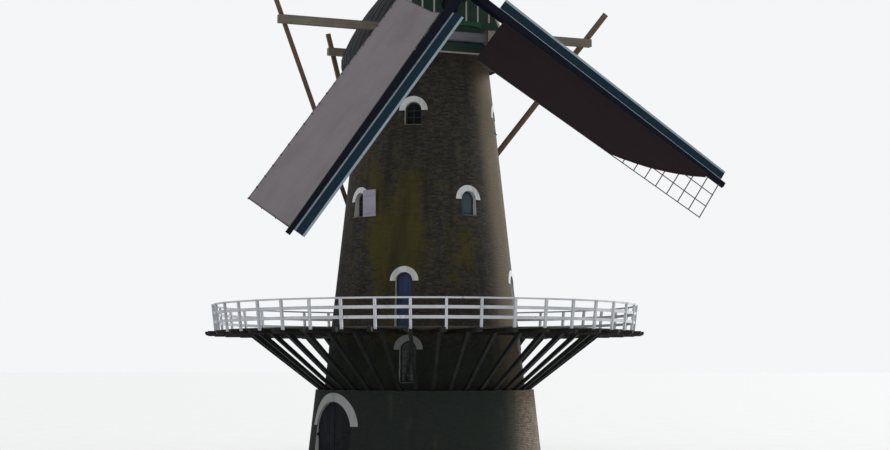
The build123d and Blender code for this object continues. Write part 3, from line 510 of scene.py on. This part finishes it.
print("dressed", sum(bool(o.data.materials) for o in nodes.values()), "nodes")

# %% [markdown]
# New pieces are modelled with Blender's own tools, as by hand. A few helpers keep that short: for edit mode,
# for a board, a bolt, a ring and a square band, for a slice of a CAD part, and for copies. The one called
# settle ends each piece.

# %% Helpers for modelling
at = Matrix.Translation


def turned(angle, axis):
    return Matrix.Rotation(radians(angle), 4, axis)


def alone(piece):
    """Selects one piece and makes it active."""
    deselect()
    piece.select_set(True)
    bpy.context.view_layer.objects.active = piece


def edit(piece, wanted=None):
    """Enters edit mode, with all faces selected, or those whose centre and normal pass a test."""
    alone(piece)
    bpy.ops.object.mode_set(mode="EDIT")
    bpy.ops.mesh.select_mode(type="FACE")
    bpy.ops.mesh.select_all(action="DESELECT" if wanted else "SELECT")
    if wanted:
        shape = bmesh.from_edit_mesh(piece.data)
        for face in shape.faces:
            face.select_set(wanted(face.calc_center_median(), face.normal))
        bmesh.update_edit_mesh(piece.data)


def done():
    bpy.ops.object.mode_set(mode="OBJECT")


def modify(piece, kind, **settings):
    """Adds a modifier to the active piece and applies it."""
    change = piece.modifiers.new(kind, kind)
    for name, value in settings.items():
        setattr(change, name, value)
    bpy.ops.object.modifier_apply(modifier=change.name)


def board(name, size, place=Matrix(), edge=0.004):
    """A sawn board with eased edges, centred on its place."""
    made = start("cube", name, size=1)
    made.scale = size
    bpy.ops.object.transform_apply()
    edit(made)
    bpy.ops.mesh.bevel(offset=edge, segments=1, affect="EDGES")
    done()
    made.data.transform(place)
    return made


def bolt(name, radius, height):
    """A bolt head on its washer, standing up along z."""
    made = start("cylinder", name, vertices=12, radius=radius * 1.5, depth=height * 0.3)
    edit(made, lambda centre, normal: normal.z > 0.9)
    bpy.ops.mesh.inset(thickness=radius * 0.5, depth=0)
    bpy.ops.mesh.extrude_region_move(TRANSFORM_OT_translate={"value": (0, 0, height)})
    bpy.ops.mesh.inset(thickness=radius * 0.2, depth=height * 0.15)
    done()
    return made


def drop_ring(name, radius, wire, around=14, section=6):
    """A ring of round wire whose lower side is drawn down to a drop, as a pull ring or a rope's eye is."""
    made = start("torus", name, major_radius=radius, minor_radius=wire, major_segments=around,
                 minor_segments=section)
    edit(made, lambda centre, normal: centre.y < -0.75 * radius)
    bpy.ops.transform.translate(value=(0, -0.35 * radius, 0))
    bpy.ops.transform.resize(value=(0.7, 1, 1), center_override=(0, 0, 0))
    done()
    return made


def square_band(name, inside, width, thick):
    """An open square band: a box whose end faces are deleted, given its wall by Solidify."""
    made = start("cube", name, size=1)
    made.scale = (inside, inside, width)
    bpy.ops.object.transform_apply()
    edit(made, lambda centre, normal: abs(normal.z) > 0.9)
    bpy.ops.mesh.delete(type="FACE")
    done()
    modify(made, "SOLIDIFY", thickness=thick, offset=1, use_even_offset=True)
    modify(made, "BEVEL", width=0.006, segments=2)
    return made


def join(pieces, name):
    """Makes one piece of several."""
    deselect()
    for piece in pieces:
        piece.select_set(True)
    bpy.context.view_layer.objects.active = pieces[0]
    bpy.ops.object.join()
    pieces[0].name = pieces[0].data.name = name
    return pieces[0]


def copied(piece, places):
    """Copies a piece to each place, every copy with its own mesh, and joins them under its name."""
    name = piece.name
    made = [linked(name, piece.data.copy()) for place in places]
    for copy, place in zip(made, places):
        copy.data.transform(place)
    bpy.data.objects.remove(piece)
    return join(made, name)


def settle(piece, body, slot, material, *instead_of):
    """Puts a piece's place into its mesh, and gives it its finish and body. Its slot argument is not used."""
    alone(piece)
    bpy.ops.object.transform_apply()
    dress(piece, material)
    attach(piece, body)
    if instead_of:
        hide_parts(*instead_of)
    print(f"{piece.name}: {len(piece.data.polygons)} faces on {body}")
    return piece


def cut_from(node, name, *cuts):
    """A copy of a CAD part that keeps what lies ahead of each (point, normal), closed again."""
    made = linked(name, nodes[node].data.copy())
    edit(made)
    bpy.ops.mesh.remove_doubles(threshold=0.0001)
    for point, normal in cuts:
        bpy.ops.mesh.select_all(action="SELECT")
        bpy.ops.mesh.bisect(plane_co=point, plane_no=normal, use_fill=True, clear_inner=True)
    bpy.ops.mesh.select_all(action="SELECT")
    bpy.ops.mesh.normals_make_consistent(inside=False)
    done()
    return made


def on_tower(bearing, reach=0.0, height=0.0, across=0.0):
    """A place on the tower: x outwards, y to the right as seen from outside, z up."""
    return turned(bearing, "Z") @ at((reach, across, height))


print("helpers ready")

# %% [markdown]
# A sail is a twisted ladder: its bars stand at 20 degrees to the wind near the shaft and at 2 degrees at the
# tip. The same sum that placed the CAD's bars gives any point on the sail, so cloth and trim follow them.

# %% Places on a sail
SAIL_LENGTH = 12.3
BAR_START = 2.0
BAR_END = 12.1
BAR_PITCH = 0.505
BARS = [BAR_START + BAR_PITCH * k for k in range(21)]
SAIL_WIDTH = 1.75
ROOT_SLOPE = tan(radians(20))
TIP_SLOPE = tan(radians(2))


def half_stock(r):
    """For a number or a link."""
    return 0.165 - 0.07 / SAIL_LENGTH * r


def half_depth(r):
    return 0.15 - 0.075 / SAIL_LENGTH * r


def slope_at(r):
    return ROOT_SLOPE + (r - BAR_START) / (BAR_END - BAR_START) * (TIP_SLOPE - ROOT_SLOPE)


def on_sail(r, across, height=0.0):
    """A point at r along the sail, across from the stock's middle, standing off the bars' middles."""
    slope = slope_at(r)
    off = Vector((0, -slope, 1)).normalized() * height
    return Vector((r, -across, -across * slope)) + off


print("a sail's outer corner", [round(v, 2) for v in on_sail(BAR_END, SAIL_WIDTH)])

# %% [markdown]
# Sailcloth is canvas, sewn from long strips. The wind presses it on the bars, so it shows each bar as a soft
# rib and sinks a little between them. Two of the mill's cloths are light and fully spread. The other two are
# dark and drawn in to a curve. The finish reads the cloth's own UV map, in metres, for its seams and weave.

# %% Canvas
SEAM = 0.52


def canvas_finish(name, light, dark, soil):
    f = Finish(name)
    u, v, _ = f.split(f.node("UVMap", {"uv_map": "canvas"}))
    seam = f.step(abs((v / SEAM) % 1 - 0.5) * SEAM, 0.016, 0.006)
    near_bar = abs(((u - BAR_START) / BAR_PITCH + 0.5) % 1 - 0.5) * BAR_PITCH
    pressed = f.step(near_bar, 0.05, 0.012)
    weave = f.noise(f.join(u * 90, v * 90, 0.0), 1.0, 2.0)
    fold = f.noise(f.join(u * 1.1, v * 3.5, 0.0), 1.0, 5.0)
    stain = f.step(f.noise(f.join(u * 0.5, v * 1.6, 7.0), 1.0, 6.0), 0.45, 0.75)
    colour = f.mix(fold * 0.7 + weave * 0.3, dark, light)
    colour = f.mix(stain * 0.3, colour, soil)
    colour = f.mix(seam * 0.1 + pressed * 0.05, colour, soil)
    return f.shade(colour, 0.95, weave * 0.15 + fold + seam * 0.2, 0.008)


def rope_finish(name, light, dark):
    return wood_finish(name, light, dark, (1, 0.3, 0), dirt=0.3, fine=60, relief=0.003)


light_canvas = canvas_finish("light_canvas", (126, 122, 125), (114, 109, 113), (94, 90, 92))
dark_canvas = canvas_finish("dark_canvas", (37, 25, 29), (27, 18, 22), (18, 13, 16))
hemp = rope_finish("hemp_rope", (118, 112, 104), (78, 73, 68))
tarred_rope = rope_finish("tarred_rope", (46, 38, 38), (24, 20, 22))
print("seams every", SEAM)

# %% [markdown]
# The reefed edge is an arc through three points, as in the CAD. Each cloth starts as a flat grid, whose rows
# and columns are then laid on the sail, and Solidify gives the canvas its few millimetres. A bolt rope runs
# around its rim.

# %% The four cloths
CLOTH_START = 1.9
CLOTH_OFF = 0.0215
CLOTH_EDGE = SAIL_WIDTH - 0.015
CANVAS = 0.004
LAP = 0.01
LIFT_WIDTH = 0.35
SAG = 0.007
BOLT_ROPE = 0.01
REEF = ((7.9, 1.75), (9.8, 1.14), (11.5, 0.2))
REEF_START, REEF_END = REEF[0][0], REEF[2][0]
COLUMNS, ROWS = 126, 18
rng = random.Random(51)


def arc_through(points):
    """Centre x, centre y and radius of the circle through three points."""
    a, b, c = (complex(*point) for point in points)
    ratio = (c - a) / (b - a)
    centre = a + (b - a) * (ratio - abs(ratio) ** 2) / (2j * ratio.imag)
    return centre.real, centre.imag, abs(a - centre)


REEF_ARC = arc_through(REEF)


def far_edge(r, reefed):
    if not reefed or r <= REEF_START:
        return CLOTH_EDGE
    x, y, radius = REEF_ARC
    return min(CLOTH_EDGE, y + sqrt(radius ** 2 - (r - x) ** 2))


def cloth_off(r, across, phase):
    """How far the cloth stands off the bars: up beside the stock, sunk between bars, a little wrinkled."""
    near = half_stock(r) - LAP
    share = (across - near) / (SAIL_WIDTH - near)
    on_stock = (half_depth(r) + 0.005 + near * slope_at(r)) * hypot(1, slope_at(r)) - CLOTH_OFF
    lift = min(1.0, max(0.0, 1.08 - (across - near) / LIFT_WIDTH)) ** 2 * on_stock
    between = sin(pi * (r - BAR_START) / BAR_PITCH) ** 2
    wrinkle = sin(r * 2.3 + phase) * sin(share * 5.0 + phase * 2)
    return CLOTH_OFF + lift - SAG * between * min(1.0, 4 * share, 4 * (1 - share)) + 0.0015 * wrinkle


def rope_along(name, points, radius, closed=False):
    """A rope that follows points, as a mesh tube."""
    line = bpy.data.curves.new(name, "CURVE")
    line.dimensions = "3D"
    line.bevel_depth = radius
    line.bevel_resolution = 1
    line.use_fill_caps = not closed
    spline = line.splines.new("POLY")
    spline.points.add(len(points) - 1)
    for point, place in zip(spline.points, points):
        point.co = (*place, 1)
    spline.use_cyclic_u = closed
    alone(linked(name, line))
    bpy.ops.object.convert(target="MESH")
    bpy.ops.object.shade_smooth()
    return bpy.context.object


def lay_cloth(sail, reefed):
    """One cloth and its bolt rope."""
    name = sail + "_canvas"
    phase = rng.uniform(0, 6)
    end = REEF_END if reefed else BAR_END
    material, rope_material, slot = ((dark_canvas, tarred_rope, "dark_cloth") if reefed else
                                     (light_canvas, hemp, "light_cloth"))

    def spread(length_share, width_share):
        """The cloth's point at shares of its length and of its width there, as (r, across)."""
        r = CLOTH_START + length_share * (end - CLOTH_START)
        near = half_stock(r) - LAP
        return r, near + width_share * (far_edge(r, reefed) - near)

    cloth = start("grid", name, x_subdivisions=COLUMNS, y_subdivisions=ROWS, size=2)
    chart = cloth.data.uv_layers[0]
    chart.name = "canvas"
    flat = [spread((point.co.x + 1) / 2, (1 - point.co.y) / 2) for point in cloth.data.vertices]
    for point, (r, across) in zip(cloth.data.vertices, flat):
        point.co = on_sail(r, across, cloth_off(r, across, phase))
    for corner in cloth.data.loops:
        chart.data[corner.index].uv = flat[corner.vertex_index]
    modify(cloth, "SOLIDIFY", thickness=CANVAS)
    bpy.ops.object.shade_smooth_by_angle(angle=radians(40))
    cloth.data.transform(SAILS[sail])

    rim = [spread(k / COLUMNS, 1) for k in range(COLUMNS)]
    rim += [spread(1, 1 - k / ROWS) for k in range(ROWS)]
    rim += [spread(1 - k / COLUMNS, 0) for k in range(COLUMNS)]
    rim += [spread(0, k / ROWS) for k in range(ROWS)]
    line = [SAILS[sail] @ on_sail(r, across, cloth_off(r, across, phase) + 0.006) for r, across in rim]
    rope = rope_along(name + "_rope", line, BOLT_ROPE, closed=True)
    settle(cloth, "sails", slot, material, sail + "_cloth")
    settle(rope, "sails", slot, rope_material)


REEFED = ("upper_left", "lower_right")
for sail in SAILS:
    lay_cloth(sail, sail in REEFED)

# %% [markdown]
# Where a cloth is drawn in, the spare canvas is rolled up along the curve and tied. Each roll is a thick
# tube with uneven lumps, and the ties are small loops of rope around it.

# %% Rolled edges and ties
ROLL = 0.03


def on_reef(r):
    return on_sail(r, far_edge(r, True), CLOTH_OFF + 0.016)


for sail in REEFED:
    path = [REEF_START + k / 60 * (REEF_END - REEF_START) for k in range(61)]
    roll = rope_along(sail + "_roll", [SAILS[sail] @ on_reef(r) for r in path], ROLL)
    for point in roll.data.vertices:
        lump = sin(point.co.x * 9.0) * sin(point.co.z * 11.0)
        point.co += point.normal * 0.004 * lump
    settle(roll, "sails", "dark_cloth", dark_canvas)
    ties = []
    for r in (bar for bar in BARS if REEF_START < bar < REEF_END):
        aim = (on_reef(r + 0.01) - on_reef(r)).to_track_quat("Z", "Y")
        ties.append(drop_ring("tie", ROLL + 0.006, 0.006, 12, 5))
        ties[-1].data.transform(SAILS[sail] @ at(on_reef(r)) @ aim.to_matrix().to_4x4())
    settle(join(ties, sail + "_ties"), "sails", "dark_cloth", tarred_rope)

# %% [markdown]
# Along the far edge every bar holds the cloth by an eye in its bolt rope. One eye is modelled and copied to
# the end of each bar that a cloth reaches.

# %% Cloth eyes
places = [SAILS[sail] @ at(on_sail(r, SAIL_WIDTH - 0.03, CLOTH_OFF + 0.01))
          for sail in SAILS for r in BARS if sail not in REEFED or r <= REEF_START]
eye = drop_ring("cloth_eyes", 0.026, 0.007, 10, 5)
settle(copied(eye, places), "sails", "dark_cloth", tarred_rope)

# %% [markdown]
# The boards in front of each stock are painted blue-green, with a pale edge outside and a thin pale line
# beside the stock. One node holds all four boards, so the material folds the four sails onto one: it
# measures along and across the nearest sail, in the plane that they turn in.

# %% Painted leading boards
EDGE_LINE = 0.085
INNER_LINE = 0.06
BOARD_WIDTH = 0.43
f = Finish("board_paint")
spot = f.node("VectorMath", {"operation": "SUBTRACT"}, {0: f.place(), 1: tuple(HUB)})
axes = POLL_FRAME.to_3x3()
a, b = (f.measure("DOT_PRODUCT", spot, tuple(axes.col[k])) for k in (0, 1))
first = abs(a) > abs(b)
along = first * abs(a) + (1 - first) * abs(b)
across = first * (a.maths("SIGN") * b) - (1 - first) * (b.maths("SIGN") * a)
from_stock = across - half_stock(along)
grain = f.noise(f.join(along * 1.2, across * 30, 0.0), 1.0, 6.0)
wear = f.step(f.noise(f.place(), 4.0, 8.0), 0.5, 0.72)
teal = f.mix(grain, (4, 26, 40), (10, 40, 55))
white = f.mix(grain, (116, 132, 142), (156, 170, 178))
line = f.step(from_stock, BOARD_WIDTH - EDGE_LINE, BOARD_WIDTH - EDGE_LINE + 0.006)
line = line + f.step(from_stock, INNER_LINE + 0.004, INNER_LINE)
paint = f.mix(wear * 0.25, f.mix(line, teal, white), (46, 60, 66))
dress(nodes["leading_boards"], f.shade(paint, wear * 0.2 + 0.6, grain, 0.003, shine=0.15))
print("edge line", EDGE_LINE, "inner line", INNER_LINE)

# %% [markdown]
# The stocks are bolted through at every bar. A bolt head is a short cylinder whose top is inset and pulled
# up in edit mode. One is made and copied to the front of the four arms, in pairs.

# %% Stock bolts
places = [SAILS[sail] @ at((r, side, half_depth(r) - 0.002))
          for sail in SAILS for r in BARS for side in (-0.045, 0.045)]
bolt_black = iron_finish("bolt_black", (13, 17, 27), rust=0.1, roughness=0.7, shine=0.1)
settle(copied(bolt("stock_bolts", 0.02, 0.016), places), "sails", "shaft_iron", bolt_black)

# %% [markdown]
# The poll end is the iron head of the windshaft, which both stocks pass through. It has a rib around each
# end, a bolted plate on its face, and oak wedges that lock the stocks.

# %% Poll end
POLL = 0.66
POLL_FRONT = 0.5
RIB = 0.03
ribs = [POLL_FRAME @ at((0, 0, z)) for z in (-0.45, 0.46)]
settle(copied(square_band("poll_ribs", POLL, 0.07, RIB), ribs), "sails", "shaft_iron", shaft_black)
plate = start("cylinder", "poll_plate", vertices=40, radius=0.23, depth=0.03)
edit(plate, lambda centre, normal: normal.z > 0.9)
for thickness, depth in ((0.05, 0), (0.02, 0.025), (0.05, 0), (0.02, -0.02)):
    bpy.ops.mesh.inset(thickness=thickness, depth=depth)
done()
plate.data.transform(POLL_FRAME @ at((0, 0, POLL_FRONT + 0.013)))
settle(plate, "sails", "shaft_iron", shaft_black)
places = [POLL_FRAME @ turned(45 * k, "Z") @ at((0.205, 0, POLL_FRONT + 0.026)) for k in range(8)]
settle(copied(bolt("poll_bolts", 0.014, 0.014), places), "sails", "shaft_iron", shaft_black)
places = [SAILS[sail] @ at((POLL / 2 + 0.045, side * (half_stock(0.4) + 0.02), 0))
          for sail in SAILS for side in (-1, 1)]
wedge = board("stock_wedges", (0.15, 0.045, 0.2), edge=0.005)
edit(wedge, lambda centre, normal: normal.x > 0.9)
bpy.ops.transform.resize(value=(1, 0.7, 0.9), center_override=(0, 0, 0))
done()
settle(copied(wedge, places), "sails", "weathered_wood", cap_timber)

# %% [markdown]
# The cap's front is what a visitor looks up at. A pale strip runs along its foot, with a blue-green board
# above it, and white cover strips run up the dark green boarding. The strips are cut from a copy of the CAD
# boarding, so their tops follow the roof's curve, and they are then moved forward.

# %% Front of the cap
CAP_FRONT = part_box("cap_front_boarding")[0][1]
STRIP = 0.022
BEARD_TOP = ((0, 0, 16.97), (0, 0, 1))
pale_paint = wood_finish("pale_paint", (176, 172, 160), (130, 128, 120), ACROSS, dirt=0.3, fine=20)
strip_white = wood_finish("strip_white", (186, 190, 180), (140, 146, 138), UP, dirt=0.3, fine=24)
trim_teal = wood_finish("trim_teal", (40, 74, 78), (22, 48, 54), ACROSS, dirt=0.25, roughness=0.6)
trim_red = wood_finish("trim_red", (112, 34, 32), (76, 22, 24), ACROSS, dirt=0.25, roughness=0.6)


def cover_strips(name, node, places, half, face, way, *more_cuts):
    """Upright strips of a boarding's outer skin, moved out by their thickness. way is their side in y."""
    strips = []
    for x in places:
        strip = cut_from(node, "strip", ((x - half, 0, 0), (1, 0, 0)), ((x + half, 0, 0), (-1, 0, 0)),
                         *more_cuts, ((0, face - way * STRIP, 0), (0, way, 0)))
        strip.data.transform(at((0, way * (STRIP - 0.0005), 0)))
        strips.append(strip)
    return join(strips, name)


strips = cover_strips("front_cover_strips", "cap_front_boarding", (-1.58, -1.12, -0.65, 0.65, 1.12, 1.58),
                      0.03, CAP_FRONT, -1, BEARD_TOP)
settle(strips, "cap", "white_paint", strip_white)
settle(board("front_foot_strip", (4.2, 0.035, 0.06), at((0, CAP_FRONT - 0.017, 15.735))),
       "cap", "white_paint", pale_paint)
settle(board("front_teal_board", (2.62, 0.03, 0.15), at((0, CAP_FRONT - 0.0145, 16.055))),
       "cap", "teal_paint", trim_teal)

# %% [markdown]
# The ends of the two long beams are capped, so rain can't get into the end grain. Each cap is a pale board
# on a red one that shows as an edge around it.

# %% Beam ends
BEAM_END = (1.5, -3.25, 16.35)
for name, width, height, out, slot, material in (
        ("beam_end_edges", 0.36, 0.5, 0.0105, "timber", trim_red),
        ("beam_end_caps", 0.29, 0.43, 0.0315, "white_paint", pale_paint)):
    places = [at((side * BEAM_END[0], BEAM_END[1] - out, BEAM_END[2])) for side in (-1, 1)]
    settle(copied(board(name, (width, 0.022, height), edge=0.006), places), "cap", slot, material)

# %% [markdown]
# The roof is boarded from ridge to eaves and tarred. Battens cover the joints. Each is a thin slice of the
# CAD roof, thickened along its normals, so it hugs the curve. A pale slice closes each of the two gables, and
# the rear boarding gets cover strips like the front's.

# %% Roof battens, gable trim and the cap's rear
def roof_slice(thicker, *cuts):
    """A slice of the roof between cuts, swollen a little."""
    made = cut_from("cap_roof", "slice", *cuts)
    edit(made)
    bpy.ops.transform.shrink_fatten(value=thicker)
    done()
    return made


battens = [roof_slice(0.018, ((0, y - 0.025, 0), (0, 1, 0)), ((0, y + 0.025, 0), (0, -1, 0)))
           for y in (-2.35 + 0.44 * k for k in range(13))]
settle(join(battens, "roof_battens"), "cap", "roof_felt", roof_tar)
trims = [roof_slice(0.014, ((0, y, 0), (0, way, 0))) for y, way in ((-2.74, -1), (3.24, 1))]
settle(join(trims, "gable_trim"), "cap", "white_paint", strip_white)
strips = cover_strips("rear_cover_strips", "cap_rear_boarding", [0.5 * k for k in range(-3, 4)],
                      0.025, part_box("cap_rear_boarding")[1][1], 1)
settle(strips, "cap", "green_paint", cap_green)

# %% [markdown]
# The gallery floor is planks, laid around the tower in 42 straight bays. One plank is modelled a row, and its
# outer side is made longer to fit the bay's taper. The row of planks is then copied to every bay. Gaps of a
# few millimetres let the rain through.

# %% Gallery planks
BAYS = 42
FIRST_JOIST = -105.4
DECK_TOP = 5.265
DECK_THICKNESS = 0.045
DECK_OUTER = 7.985
SEAT = 0.0003
PLANK = 0.2
PLANK_GAP = 0.007
deck_inner = wall_radius(DECK_TOP - DECK_THICKNESS) + SEAT
widening = 2 * tan(radians(180 / BAYS))
rows = round((DECK_OUTER - deck_inner) / PLANK)
pitch = (DECK_OUTER - deck_inner) / rows
depth = pitch - PLANK_GAP
planks = []
for k in range(rows):
    low = deck_inner + pitch * k
    narrow = low * widening - 0.005
    wide = (low + depth) * widening - 0.005
    plank = board("plank", (depth, narrow, DECK_THICKNESS), edge=0.003)
    edit(plank, lambda centre, normal: centre.x > depth / 2 - 0.0035)
    bpy.ops.transform.resize(value=(1, wide / narrow, 1), center_override=(0, 0, 0))
    done()
    plank.data.transform(at((low + depth / 2, 0, DECK_TOP - DECK_THICKNESS / 2)))
    planks.append(plank)
bay = join(planks, "gallery_planks")
places = [turned(FIRST_JOIST + (k + 0.5) * 360 / BAYS, "Z") for k in range(BAYS)]
deck_boards = wood_finish("deck_boards", (78, 72, 62), (40, 37, 32), "round", dirt=0.4, fine=20)
settle(copied(bay, places), "tower", "tarred_wood", deck_boards, "gallery_deck")

# %% [markdown]
# Each railing post is held to its joist's side by two bolts, all copies of one.

# %% Post bolts
HALF_JOIST = 0.075
POST = 0.09
places = [on_tower(FIRST_JOIST + k * 360 / BAYS, reach, height, -HALF_JOIST - POST - SEAT) @ turned(90, "X")
          for k in range(BAYS) for reach, height in ((8.045, 5.11), (8.055, 5.19))]
settle(copied(bolt("post_bolts", 0.013, 0.012), places), "tower", "hinge_iron", wrought_iron)

# %% [markdown]
# The windows are wooden sashes with thin glazing bars. Bars for one window of each size are modelled in a
# frame where x is outwards, and copied to the four sides of the tower. A sill lies at each window's foot.
# The last row is the shuttered window, which has no bars.

# %% Glazing bars and sills
OPENING = 0.64
REVEAL = 0.16
FRAME_FACE = 0.065
GLAZING = 0.026
DOOR_BEARING = -162.7
SHUT_BEARING = -77.7
MID_SILL, MID_SPRING = 9.51, 0.63
AROUND = [-119.2 + 90 * k for k in range(4)]
WINDOWS = ((3.3, 1.22, AROUND, 4), (MID_SILL, MID_SPRING, [DOOR_BEARING, 17.3, 102.3], 2),
           (12.93, 0.58, AROUND, 2), (MID_SILL, MID_SPRING, [SHUT_BEARING], 0))


def frame_front(sill, spring):
    """How far out the face of a window's or a door's frame stands."""
    return wall_radius(sill + spring + OPENING / 2) - REVEAL


sill_stone = plaster_finish("sill_stone", (86, 84, 76), (48, 46, 40))
glazing, sills = [], []
for sill, spring, bearings, levels in WINDOWS:
    front = frame_front(sill, spring)
    places = [on_tower(bearing, 0, sill) for bearing in bearings]
    if levels:
        top = spring + OPENING / 2 - FRAME_FACE
        middle = (top + FRAME_FACE) / 2
        bars = [board("bar", (0.03, GLAZING, top - FRAME_FACE), at((front - 0.019, 0, middle)))]
        for k in range(1, levels + 1):
            z = FRAME_FACE + (spring - FRAME_FACE) * k / levels
            bars.append(board("bar", (0.028, OPENING - 2 * FRAME_FACE, GLAZING), at((front - 0.019, 0, z))))
        glazing.append(copied(join(bars, "bars"), places))
    reach = wall_radius(sill) + 0.02 - front
    shelf = board("sill", (reach, OPENING - 0.004, 0.035), at((front + reach / 2, 0, 0.0178)))
    sills.append(copied(shelf, places))
settle(join(glazing, "glazing_bars"), "tower", "white_paint", sash_dark)
settle(join(sills, "window_sills"), "tower", "white_plaster", sill_stone)

# %% [markdown]
# The gallery doors' boards are raised strips on the CAD doors. Each door has a pull ring.

# %% Gallery door boards
DOOR_SPRING = 1.785
GALLERY_DOORS = [-122.7 + 90 * k for k in range(4)]
HANGING = Matrix(((0, 0, 1), (1, 0, 0), (0, 1, 0))).to_4x4()
face = frame_front(DECK_TOP, DOOR_SPRING) - 0.005
slats = []
for across in (-0.186, -0.062, 0.062, 0.186):
    top = DOOR_SPRING + sqrt((OPENING / 2 - FRAME_FACE) ** 2 - (abs(across) + 0.055) ** 2) - 0.01
    slats.append(board("slat", (0.014, 0.116, top - FRAME_FACE),
                       at((face + 0.006, across, (top + FRAME_FACE) / 2)), edge=0.003))
places = [on_tower(bearing, 0, DECK_TOP) for bearing in GALLERY_DOORS]
settle(copied(join(slats, "gallery_door_boards"), places), "tower", "blue_paint", blue_boards)
handle = drop_ring("gallery_door_rings", 0.05, 0.008)
places = [place @ at((face + 0.02, -0.19, 1.05)) @ HANGING for place in places]
settle(copied(handle, places), "tower", "hinge_iron", wrought_iron)

# %% [markdown]
# The ground door's planks are cut from copies of its leaves, so they end on the arch. It has iron studs and
# a ring. Each leaf's pieces ride on its own body, and swing with it.

# %% Ground door planks
LEAF_FACE = 4.15
DOOR_HALF = 1.135
PLANK_WIDTH = 0.152
out = Vector((cos(radians(DOOR_BEARING)), sin(radians(DOOR_BEARING)), 0))
right = Vector((-out.y, out.x, 0))
for leaf, body, side in (("door_leaf_left", "left_door", -1), ("door_leaf_right", "right_door", 1)):
    planks = []
    for k in range(7):
        low = 0.03 + k * (PLANK_WIDTH + 0.004)
        near, far = right * side * low, right * side * min(low + PLANK_WIDTH, DOOR_HALF - 0.03)
        plank = cut_from(leaf, "plank", (near, right * side), (far, -right * side),
                         (out * (LEAF_FACE - 0.001), -out), (out * (LEAF_FACE - 0.018), out))
        plank.data.transform(at(out * 0.0085))
        planks.append(plank)
    planks = join(planks, leaf + "_planks")
    modify(planks, "BEVEL", width=0.003, segments=1, angle_limit=radians(60))
    settle(planks, body, "dark_green_paint", door_green)
    studs = [on_tower(DOOR_BEARING, LEAF_FACE + 0.012, level, side * across) @ turned(90, "Y")
             for level in (0.35, 1.4) for across in (0.45, 0.65, 0.85)]
    settle(copied(bolt(leaf + "_studs", 0.012, 0.008), studs), body, "hinge_iron", wrought_iron)
ring = drop_ring("door_ring", 0.07, 0.011, 20, 8)
ring.data.transform(on_tower(DOOR_BEARING, LEAF_FACE + 0.022, 1.08, 0.12) @ HANGING)
settle(ring, "right_door", "hinge_iron", wrought_iron)

# %% [markdown]
# The open shutter lies flat on the wall and the shut one fills its window. Both are ledged: two boards
# across the planks.

# %% Shutter ledges
wall = wall_radius(MID_SILL)
step = degrees(asin((OPENING + 0.02) / wall))
open_place = on_tower(DOOR_BEARING + step, wall + 0.03 + SEAT, MID_SILL)
shut_place = on_tower(SHUT_BEARING, frame_front(MID_SILL, MID_SPRING) - 0.02, MID_SILL)
ledges = [board("ledge", (0.02, width, 0.09), place @ at((0.0095, 0, level)), edge=0.005)
          for place, width, levels in ((open_place, 0.6, (0.17, 0.82)), (shut_place, 0.48, (0.17, 0.62)))
          for level in levels]
paint_open_shutter(settle(join(ledges, "shutter_ledges"), "tower", "white_paint", shutter_teal))

# %% [markdown]
# Iron straps bind the tail pole. A strap is a square band, as on the poll end, turned to lie around it.

# %% Iron straps on the tail pole
low, high = Vector((0, 5.45, 5.9)), Vector((0, 3.76, 17.15))
run = (high - low).normalized()
leaning = Matrix((Vector(ACROSS), run.cross(Vector(ACROSS)), run)).transposed().to_4x4()
places = [at(low.lerp(high, share)) @ leaning for share in (0.06, 0.12, 0.3, 0.6, 0.88)]
settle(copied(square_band("tail_pole_straps", 0.3, 0.08, 0.012), places), "cap", "hinge_iron", wrought_iron)
